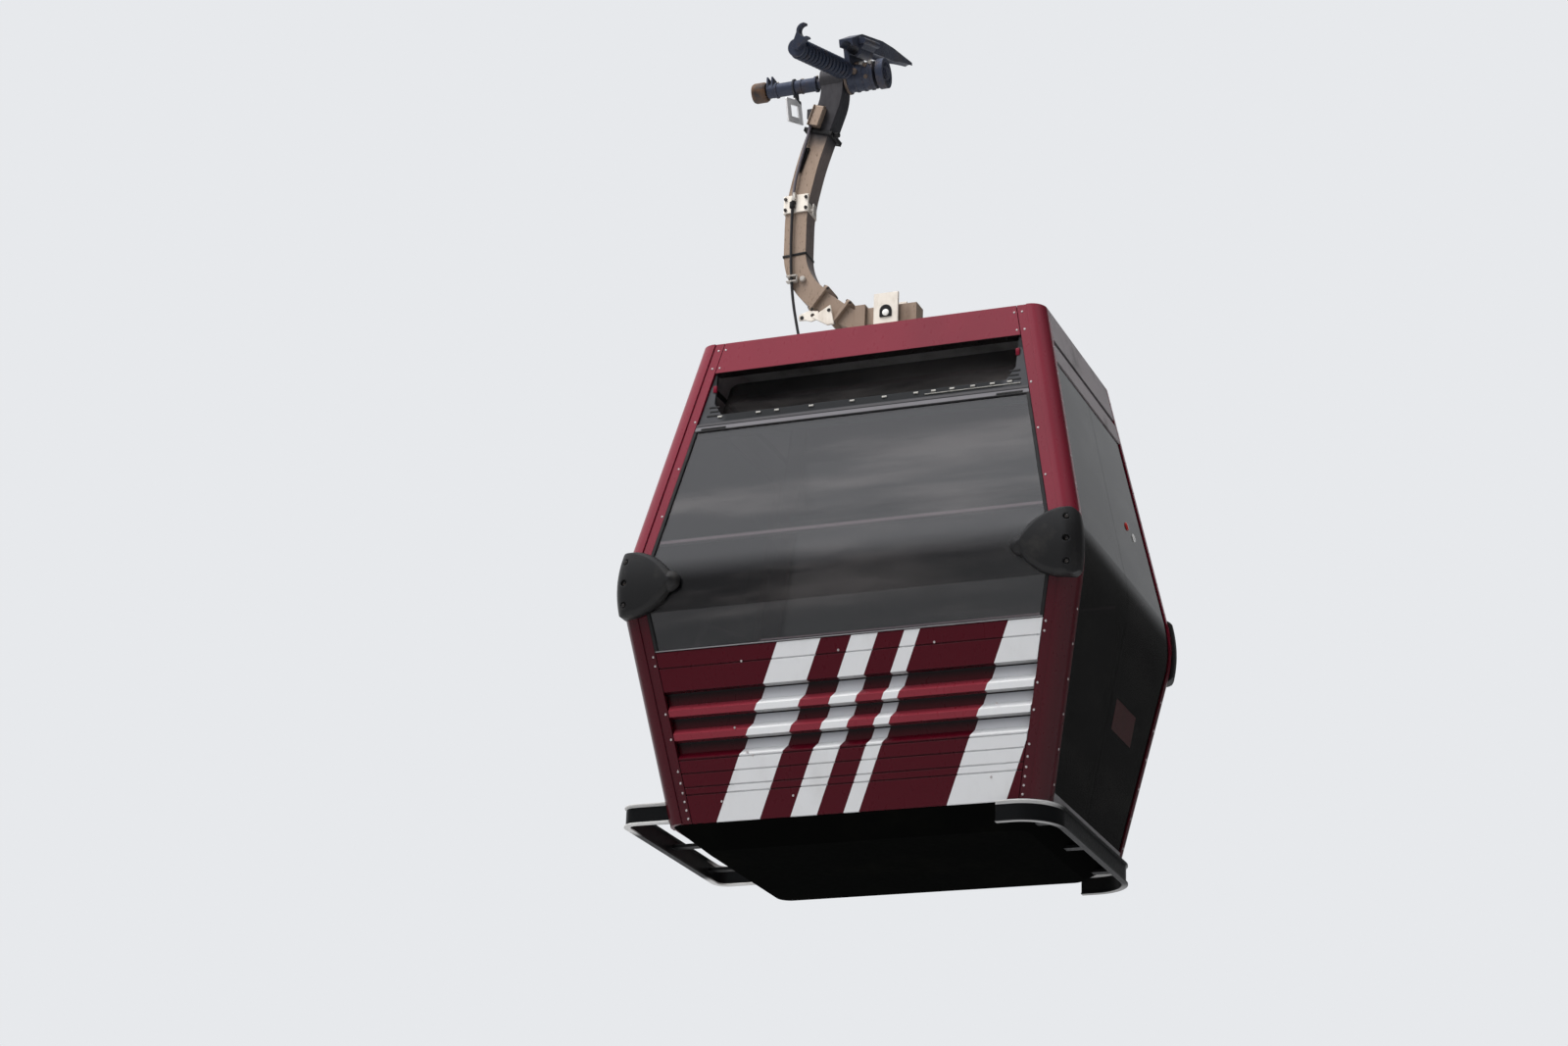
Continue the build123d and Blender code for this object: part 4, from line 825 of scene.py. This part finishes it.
# The hose down the front of the hanger's arm
HOSE_X = 0.069
HOSE_R = 0.007
HOSE_ROUTE = ((-0.216, -0.366), (-0.219, -0.415), (-0.243, -0.513), (-0.272, -0.620), (-0.289, -0.705),
              (-0.296, -0.795), (-0.298, -0.900), (-0.298, -1.010), (-0.295, -1.110), (-0.289, -1.220),
              (-0.277, -1.330), (-0.257, -1.440), (-0.236, -1.540), (-0.226, -1.610), (-0.226, -1.656))


def make_hose():
    curve = bpy.data.curves.new("hanger_hose_line", "CURVE")
    curve.dimensions = "3D"
    curve.bevel_depth = HOSE_R
    curve.bevel_resolution = 4
    curve.resolution_u = 8
    spline = curve.splines.new("NURBS")
    spline.points.add(len(HOSE_ROUTE) - 1)
    for point, (y, z) in zip(spline.points, HOSE_ROUTE):
        point.co = (HOSE_X, y, z, 1.0)
    spline.order_u = 3
    spline.use_endpoint_u = True
    curve.materials.append(hose_paint())
    hose = add_object("hanger_hose_line", curve)
    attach(hose, "cabin")
    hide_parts("hanger_hose")


# Rivets of the posts and panels
RIVET = dome(radius=0.0055, height=0.003)
RIVET_SIDES = 10
FLANGE_RIVET_INSET = 0.108
FLANGE_RIVET_LEVELS = (0.72, 0.68, 0.47, 0.36, 0.222, 0.172, 0.13, 0.092, 0.056, 0.02, 1.86, 1.62, 1.38)
FLANGE_SET = 0.006
FASCIA_RIVET_INSETS = (0.10, 0.136)
FASCIA_RIVET_LEVELS = (2.235, 2.14)
POST_RIVETS = 16
POST_RIVET_FIRST = 0.07
POST_RIVET_PITCH = 0.142
POST_RIVET_INSET = 0.074
BUMPER_HALF_HEIGHT = 0.17
# Across from the cabin's middle, and height
PANEL_RIVETS = ((-0.479, -3.331), (-0.032, -3.322), (-0.521, -3.611), (-0.467, -3.718), (-0.443, -3.733),
                (-0.593, -3.917), (-0.264, -3.915), (0.40, -3.326), (0.66, -3.60), (0.62, -3.90))


def make_rivets(end_name, end):
    rivets = Shape()
    marks = [(FLANGE_RIVET_INSET, level) for level in FLANGE_RIVET_LEVELS]
    marks += [(inset, level) for level in FASCIA_RIVET_LEVELS for inset in FASCIA_RIVET_INSETS]
    for side in (1, -1):
        for inset, level in marks:
            y = side * (half_width(level) - inset)
            rivets.turned(*end_point(end, y, BODY_BOTTOM + level, FLANGE_SET), RIVET, RIVET_SIDES)
        for row in range(POST_RIVETS):
            z = BODY_BOTTOM + POST_RIVET_FIRST + row * POST_RIVET_PITCH
            if abs(z - WAIST_Z) >= BUMPER_HALF_HEIGHT:
                x = end * (wall(HALF_LENGTH, z)[0] - POST_RIVET_INSET)
                rivets.turned(*side_point(side, x, z), RIVET, RIVET_SIDES)
    for y, z in PANEL_RIVETS:
        rivets.turned(*end_point(end, y, z, PANEL_SET), RIVET, RIVET_SIDES)
    rivets.build(f"rivets_{end_name}", "cabin", "rivet", slot="steel_tube")


# Window gaskets, with how deep they are set and their thickness, and the trim under the window
GASKET_INSETS = (POST_FACE + 0.003, POST_FACE + 0.019)
GASKET_SIZES = (0.0045, 0.004)
WINDOW_EDGE_GAP = 0.006
VENT_EDGE_GAP = 0.016
# Strips across an end wall: level, height, how deep they are set and thickness
WINDOW_TOP_STRIP = (WINDOW_HIGH + 0.003, 0.006, 0.004, 0.004)
VENT_FOOT_STRIP = (VENT_LOW + 0.003, 0.007, 0.0145, 0.004)
WINDOW_TRIM_STRIP = (WINDOW_LOW + 0.001, 0.0045, 0.0035, 0.004)


def make_window_edges(end_name, end):
    gaskets = Shape()
    for side in (1, -1):
        gaskets.climbing_strip(end, side, GASKET_INSETS, (WINDOW_LOW, WINDOW_HIGH), *GASKET_SIZES)
    upper = half_width(WINDOW_HIGH) - POST_FACE
    for gap, strip in ((WINDOW_EDGE_GAP, WINDOW_TOP_STRIP), (VENT_EDGE_GAP, VENT_FOOT_STRIP)):
        gaskets.level_strip(end, (gap - upper, upper - gap), *strip)
    gaskets.build(f"window_gaskets_{end_name}", "cabin", "black_rubber")
    trim = Shape()
    lower = half_width(WINDOW_LOW) - POST_FACE - WINDOW_EDGE_GAP
    trim.level_strip(end, (-lower, lower), *WINDOW_TRIM_STRIP)
    trim.build(f"window_trim_{end_name}", "cabin", "grey_metal")


# The vents' clips, slots and tabs
VENT_CLIP_PLACES = (-0.675, -0.489, -0.400, -0.235, -0.041, 0.111, 0.258, 0.340, 0.426, 0.521, 0.611, 0.690)
VENT_CLIP_HALF = 0.011
VENT_CLIP_STRIP = (VENT_LOW + 0.037, 0.008, 0.011, 0.006)
VENT_LINE = (0.30, 0.74)
VENT_LINE_STRIP = (VENT_LOW + 0.024, 0.003, 0.012, 0.005)
# Inset from the side wall, level and width of each slot in a cheek, and what the slots share
CHEEK_SLOTS = ((0.150, 1.935, 0.050), (0.160, 1.912, 0.045), (0.153, 1.890, 0.055))
CHEEK_SLOT_SIZES = (0.009, 0.0145, 0.003)
VENT_RAIL_LEVEL = 1.824
VENT_RAIL_SLOT_INSETS = (0.15, 0.27)
VENT_RAIL_SLOT_STRIP = (1.816, 0.010, 0.0045, 0.003)
VENT_TAB_LEVEL = 2.03
VENT_TAB_INSET = 0.148
VENT_TAB_SET = 0.014
VENT_TAB_SIZE = (0.010, 0.018, 0.034)


def make_vent_fittings(end_name, end):
    clips, dark_slots, tabs = Shape(), Shape(), Shape()
    for y in VENT_CLIP_PLACES:
        reach = (y * end - VENT_CLIP_HALF, y * end + VENT_CLIP_HALF)
        clips.level_strip(end, reach, *VENT_CLIP_STRIP)
    clips.level_strip(end, VENT_LINE, *VENT_LINE_STRIP)
    clips.build(f"vent_clips_{end_name}", "cabin", "clip_grey", slot="grey_metal")
    for side in (1, -1):
        for inset, level, width in CHEEK_SLOTS:
            start = half_width(level) - inset
            dark_slots.level_strip(end, (side * start, side * (start - width)), level, *CHEEK_SLOT_SIZES)
        reach = [side * (half_width(VENT_RAIL_LEVEL) - inset) for inset in VENT_RAIL_SLOT_INSETS]
        dark_slots.level_strip(end, reach, *VENT_RAIL_SLOT_STRIP)
    dark_slots.build(f"vent_slots_{end_name}", "cabin", "black_rubber")
    for side in (1, -1):
        y = side * (half_width(VENT_TAB_LEVEL) - VENT_TAB_INSET)
        place, _ = end_point(end, y, BODY_BOTTOM + VENT_TAB_LEVEL, VENT_TAB_SET)
        tabs.block(place, VENT_TAB_SIZE, bevel=0.002)
    tabs.build(f"vent_tabs_{end_name}", "cabin", "body_red")


# Bumper bolts, sunk in their counterbores
BUMPER_BOLT_Y = 1.008
BUMPER_FLOOR_X = 0.808
BUMPER_BOLT_Z = (-3.057, -2.957, -2.857)
BUMPER_BOLT = bolt_head(radius=0.0085, height=0.006)


def make_bumper_bolts():
    bolts = Shape()
    for end in (1, -1):
        for side in (1, -1):
            for z in BUMPER_BOLT_Z:
                place = Vector((end * BUMPER_FLOOR_X, CABIN_Y + side * BUMPER_BOLT_Y, z))
                bolts.turned(place, X_AXIS * end, BUMPER_BOLT, HEXAGON)
    bolts.build("bumper_bolts", "cabin", "bolt_dark", smooth=False, slot="grip_steel")


# Bolts of the hanger's elbow flanges, collar and lugs
ELBOW_TOP = Vector((0, -0.152, -1.322))
ELBOW_END = Vector((0, -0.038, -1.412))
FLANGE_BOLT_X = 0.060
FLANGE_BOLT_OFF = 0.0625
FLANGE_HALF = 0.007
FLANGE_BOLT = bolt_head(radius=0.0075, height=0.006)
COLLAR_FRONT_X = 0.060
COLLAR_BOLT_Y = (-0.336, -0.232)
COLLAR_BOLT_Z = (-0.780, -0.836)
COLLAR_BOLT = bolt_head(radius=0.0085, height=0.008)
# Place and radius of the buttons on the lugs
LUG_BOLTS = (
    ((0.0585, -0.232, -1.416), 0.010),
    ((0.0585, -0.178, -1.410), 0.010),
    ((0.0765, -0.090, -1.402), 0.009),
)


def make_hanger_bolts():
    bolts = Shape()
    along = (ELBOW_END - ELBOW_TOP).normalized()
    beside = Vector((0, -along.z, along.y))
    for centre in (ELBOW_TOP, ELBOW_END):
        for x in (-FLANGE_BOLT_X, FLANGE_BOLT_X):
            for off in (-FLANGE_BOLT_OFF, FLANGE_BOLT_OFF):
                for way in (1, -1):
                    place = centre + X_AXIS * x + beside * off + along * (FLANGE_HALF * way)
                    bolts.turned(place, along * way, FLANGE_BOLT, HEXAGON)
    for y in COLLAR_BOLT_Y:
        for z in COLLAR_BOLT_Z:
            bolts.turned(Vector((COLLAR_FRONT_X, y, z)), X_AXIS, COLLAR_BOLT, HEXAGON)
    for place, radius in LUG_BOLTS:
        bolts.turned(Vector(place), X_AXIS, button(radius, height=0.006), segments=14)
    bolts.build("hanger_bolts", "cabin", "bolt_dark", slot="grip_steel")


# Bright clips along the hose, and the tab on the collar: centre, size and bevel
CLIP_BLOCKS = (
    ((0.058, -0.234, -1.212), (0.014, 0.026, 0.010), 0.002),
    ((0.0665, -0.287, -1.196), (0.028, 0.052, 0.007), 0.002),
    ((0.0665, -0.287, -1.224), (0.028, 0.052, 0.007), 0.002),
    ((0.0665, -0.2615, -1.210), (0.020, 0.006, 0.034), 0.002),
    ((0.030, -0.199, -0.845), (0.032, 0.006, 0.060), 0.001),
    ((0.030, -0.210, -0.845), (0.020, 0.022, 0.012), 0.001),
)
CLIP_BUTTON = (0.052, -0.236, -1.212)
HOSE_NUT = (HOSE_X, -0.2905, -0.775)
HOSE_LEAN = Vector((0, 0.07, 1))
HOSE_NUT_PROFILE = ((-0.024, 0.0125), (0.0, 0.0125), (0.004, 0.010), (0.018, 0.010), (0.020, 0.0075))


def make_hanger_clips():
    clips = Shape()
    for centre, size, bevel in CLIP_BLOCKS:
        clips.block(Vector(centre), size, bevel=bevel)
    clips.turned(Vector(CLIP_BUTTON), X_AXIS, button(radius=0.015, height=0.016), segments=18)
    clips.turned(Vector(HOSE_NUT), HOSE_LEAN, HOSE_NUT_PROFILE, HEXAGON)
    clips.build("hanger_clips", "cabin", "bolt_bright", slot="pale_plate")


# Pale lugs on the front of the elbow: outline (y, z), face and thickness
LUGS = (
    (((-0.248, -1.404), (-0.236, -1.396), (-0.196, -1.383), (-0.150, -1.392), (-0.150, -1.430),
      (-0.186, -1.440), (-0.214, -1.430), (-0.246, -1.428)), 0.0605, 0.0085),
    (((-0.176, -1.428), (-0.084, -1.376), (-0.063, -1.474), (-0.098, -1.476)), 0.0785, 0.0115),
)


def make_hanger_lugs():
    lugs = Shape()
    for outline, face, thickness in LUGS:
        lugs.plate(outline, face, thickness)
    lugs.build("hanger_lugs", "cabin", "pale_plate", smooth=False)


# Straps round the arm, the hose's sleeve and a box, square to the upper arm's lean
UPPER_ARM_LEAN = math.atan2(0.110, 0.330)
UPPER_ARM_AXES = (X_AXIS, Vector((0, cos(UPPER_ARM_LEAN), -sin(UPPER_ARM_LEAN))),
                  Vector((0, -sin(UPPER_ARM_LEAN), -cos(UPPER_ARM_LEAN))))
LOWER_STRAP_AXES = (X_AXIS, Vector((0, 0.998, 0.06)).normalized(), Vector((0, -0.06, 0.998)).normalized())
# Centre, size, directions and bevel: lower strap, hose bracket, slot in the arm, upper strap
FITTING_BLOCKS = (
    ((0, -0.2845, -1.0765), (0.112, 0.1205, 0.012), LOWER_STRAP_AXES, 0.002),
    ((0.0645, -0.2975, -0.808), (0.012, 0.030, 0.010), WORLD_AXES, 0.002),
    ((0.0545, -0.253, -0.578), (0.007, 0.018, 0.125), UPPER_ARM_AXES, 0.003),
    ((0.0, -0.180, -0.436), (0.122, 0.150, 0.016), UPPER_ARM_AXES, 0.003),
)
HOSE_SLEEVE = (HOSE_X, -0.2975, -0.835)
HOSE_SLEEVE_PROFILE = ((0.0, 0.0115), (0.003, 0.014), (0.030, 0.014), (0.033, 0.0115))
STRAP_NUT = (0.030, -0.108, -0.455)
STRAP_NUT_PROFILE = ((0.0, 0.012), (0.004, 0.014), (0.024, 0.014), (0.027, 0.010), (0.027, 0.0))
ARM_BOX = (0.068, -0.184, -0.362)
ARM_BOX_SIZE = (0.034, 0.052, 0.092)


def make_hanger_fittings():
    fittings = Shape()
    for centre, size, axes, bevel in FITTING_BLOCKS:
        fittings.block(Vector(centre), size, axes, bevel=bevel)
    fittings.turned(Vector(HOSE_SLEEVE), Z_AXIS, HOSE_SLEEVE_PROFILE)
    fittings.turned(Vector(STRAP_NUT), Y_AXIS, STRAP_NUT_PROFILE, segments=14)
    fittings.build("hanger_fittings", "cabin", "black_rubber")
    box = Shape()
    box.block(Vector(ARM_BOX), ARM_BOX_SIZE, UPPER_ARM_AXES, bevel=0.008, segments=3)
    box.build("hanger_box", "cabin", "hanger_steel")


# The dampers' end discs
DAMPER_END_X = 0.071
DAMPER_Y = 0.192
BEAM_Z = -1.450
DISC_PROFILE = ((0.0, 0.0165), (0.004, 0.0165), (0.0055, 0.013), (0.0055, 0.0))


def make_damper_discs():
    discs = Shape()
    for side in (1, -1):
        place = Vector((side * DAMPER_END_X, DAMPER_Y, BEAM_Z))
        discs.turned(place, X_AXIS * side, DISC_PROFILE, segments=24)
    discs.build("damper_discs", "cabin", "white_disc", slot="pale_plate")


# The grip's collars on the sleeve: start, radius, width and how high the bolt on top stands
SLEEVE_COLLARS = (
    (-0.4315, 0.0395, 0.010, 0.0392),
    (-0.226, 0.0400, 0.012, 0.040),
    (-0.300, 0.0375, 0.008, 0.0372),
)
COLLAR_WALL = 0.006


def make_sleeve_collars():
    collars = Shape()
    for y, radius, width, _ in SLEEVE_COLLARS:
        profile = collar(radius, width, bore=radius - COLLAR_WALL)
        collars.turned(Vector((0, y, AXLE_Z)), Y_AXIS, profile, segments=32)
    collars.build("sleeve_collars", "grip", "grip_steel")


# The grip's bolts, their ring's start in degrees, and the bosses round its housing
SLEEVE_BOLT = bolt_head(radius=0.0075, height=0.007)
RING_BOLT = bolt_head(radius=0.008, height=0.006)
HOUSING_BOLT = bolt_head(radius=0.013, height=0.012)
CAP_BOLT = bolt_head(radius=0.008, height=0.009)
HOUSING_FACE = 0.068
HOUSING_END_Y = -0.0585
HOUSING_RING_R = 0.0485
HOUSING_RING_BOLTS = 6
HOUSING_RING_START = 20
HOUSING_BOLT_AIM = Vector((0.82, 0, 0.57)).normalized()
HOUSING_BOLT_Y = (-0.030, 0.030, 0.075)
CAP_X = 0.046
CAP_Y = -0.082
CAP_RISE = 0.062
CAP_SIZE = (0.030, 0.040, 0.014)
CAP_BOLT_Y = (-0.092, -0.074)
# Turn about the axle in degrees, place along it and radius
BOSSES = ((48, 0.004, 0.015), (-2, -0.002, 0.016), (22, 0.052, 0.012), (-30, 0.056, 0.011))
HOUSING_RIM = dict(radius=0.0775, width=0.013, bore=0.060, chamfer=0.002)
HOUSING_RIM_Y = -0.0575


def make_grip_bolts():
    bolts = Shape()
    for y, _, width, lift in SLEEVE_COLLARS:
        bolts.turned(Vector((0, y + width / 2, AXLE_Z + lift)), Z_AXIS, SLEEVE_BOLT, HEXAGON)
    for turn in range(HOUSING_RING_BOLTS):
        angle = radians(360 / HOUSING_RING_BOLTS * turn + HOUSING_RING_START)
        place = Vector((HOUSING_RING_R * cos(angle), HOUSING_END_Y, AXLE_Z + HOUSING_RING_R * sin(angle)))
        bolts.turned(place, -Y_AXIS, RING_BOLT, HEXAGON)
    for y in HOUSING_BOLT_Y:
        place = Vector((0, y, AXLE_Z)) + HOUSING_BOLT_AIM * HOUSING_FACE
        bolts.turned(place, HOUSING_BOLT_AIM, HOUSING_BOLT, HEXAGON)
    bolts.block(Vector((CAP_X, CAP_Y, AXLE_Z + CAP_RISE)), CAP_SIZE, bevel=0.002)
    for y in CAP_BOLT_Y:
        place = Vector((CAP_X, y, AXLE_Z + CAP_RISE + CAP_SIZE[2] / 2))
        bolts.turned(place, Z_AXIS, CAP_BOLT, HEXAGON)
    bolts.build("grip_bolts", "grip", "bolt_bright", slot="pale_plate")


def make_housing_bosses():
    bosses = Shape()
    for turn, y, radius in BOSSES:
        aim = Vector((cos(radians(turn)), 0, sin(radians(turn))))
        place = Vector((0, y, AXLE_Z)) + aim * HOUSING_FACE
        bosses.turned(place, aim, button(radius, height=0.009), segments=20)
    bosses.turned(Vector((0, HOUSING_RIM_Y, AXLE_Z)), Y_AXIS, collar(**HOUSING_RIM), segments=40)
    bosses.build("housing_bosses", "grip", "boss_brown", slot="hanger_steel")


# Door side: two lamps, as name, X, level, finish and slot, and a blank plate
LAMPS = (("lamp_red", -0.267, 1.494, "signal_red", "body_red"),
         ("lamp_white", -0.367, 1.473, "white_disc", "pale_plate"))
LAMP_PROFILE = ((-0.004, 0.020), (0.003, 0.020), (0.006, 0.016), (0.0075, 0.0))
LAMP_SET = 0.006
NOTICE_X = -0.22
NOTICE_LEVEL = 0.55
NOTICE_SIZE = (0.30, 0.14, 0.002)
NOTICE_SET = 0.0068


def make_door_fittings():
    for name, x, level, finish, slot in LAMPS:
        lamp = Shape()
        lamp.turned(*side_point(1, x, BODY_BOTTOM + level, LAMP_SET), LAMP_PROFILE, segments=20)
        lamp.build(name, "cabin", finish, slot=slot)
    place, normal = side_point(1, NOTICE_X, BODY_BOTTOM + NOTICE_LEVEL, NOTICE_SET)
    notice = Shape()
    notice.block(place, NOTICE_SIZE, (X_AXIS, normal.cross(X_AXIS), normal), bevel=0.0006)
    notice.build("door_notice_plate", "cabin", "notice_plate", slot="body_red")


make_hose()
for end_name, end in (("front", 1), ("rear", -1)):
    make_rivets(end_name, end)
    make_window_edges(end_name, end)
    make_vent_fittings(end_name, end)
make_bumper_bolts()
make_hanger_bolts()
make_hanger_clips()
make_hanger_lugs()
make_hanger_fittings()
make_damper_discs()
make_sleeve_collars()
make_grip_bolts()
make_housing_bosses()
make_door_fittings()


# Floor, surroundings and light

def make_floor():
    z = camera_place.z - FLOOR_BELOW_CAMERA
    corners = [(x * FLOOR_REACH, y * FLOOR_REACH, z) for x, y in ((-1, -1), (1, -1), (1, 1), (-1, 1))]
    data = bpy.data.meshes.new("studio_floor")
    data.from_pydata(corners, [], [(0, 1, 2, 3)])
    floor = add_object("studio_floor", data)
    material, tree, shader = new_material("studio_floor")
    clouding = noise(tree, coordinates(tree), FLOOR_CLOUD_SCALE, detail=4.0)
    link(tree, blend(tree, clouding, *FLOOR_COLOURS), shader.inputs["Base Color"])
    shader.inputs["Roughness"].default_value = FLOOR_ROUGHNESS
    data.materials.append(material)


def make_world():
    """Pale behind the cabin, a dim horizon under a bright sky ahead of it, dark toward the doors.

    What the lens sees directly is pale all round.
    """
    world = bpy.data.worlds.new("studio")
    bpy.context.scene.world = world
    world.use_nodes = True
    tree = world.node_tree
    direction = {axis: axis_of(tree, axis, "Generated") for axis in "XYZ"}
    behind = blend(tree, remap(tree, direction["Z"], *WORLD_HORIZON_EDGE), WORLD_LOW, WORLD_PALE)
    ahead = blend(tree, remap(tree, direction["Z"], *WORLD_SKY_EDGE), WORLD_DIM, WORLD_SKY)
    surroundings = blend(tree, remap(tree, direction["X"], *WORLD_TURN), behind, ahead)
    shade = math_node(tree, "MULTIPLY", remap(tree, direction["Y"], *WORLD_DOOR_TURN),
                      remap(tree, direction["Z"], *WORLD_DOOR_RISE))
    surroundings = blend(tree, shade, surroundings, WORLD_DOOR)
    ray = add_node(tree, "ShaderNodeLightPath")
    seen = blend(tree, ray.outputs["Is Camera Ray"], surroundings, WORLD_PALE)
    link(tree, seen, tree.nodes["Background"].inputs["Color"])
    tree.nodes["Background"].inputs["Strength"].default_value = 1.0


def make_softbox(name, place, aim, size, power, colour):
    data = bpy.data.lights.new(name, "AREA")
    data.shape = "RECTANGLE"
    data.size, data.size_y = size
    data.energy = power
    data.color = colour
    light = add_object(name, data)
    light.visible_glossy = False
    light.location = place
    light.rotation_euler = (Vector(aim) - Vector(place)).to_track_quat("-Z", "Y").to_euler()


make_floor()
make_world()
for settings in SOFTBOXES:
    make_softbox(*settings)
bpy.context.scene.view_settings.view_transform = "Standard"
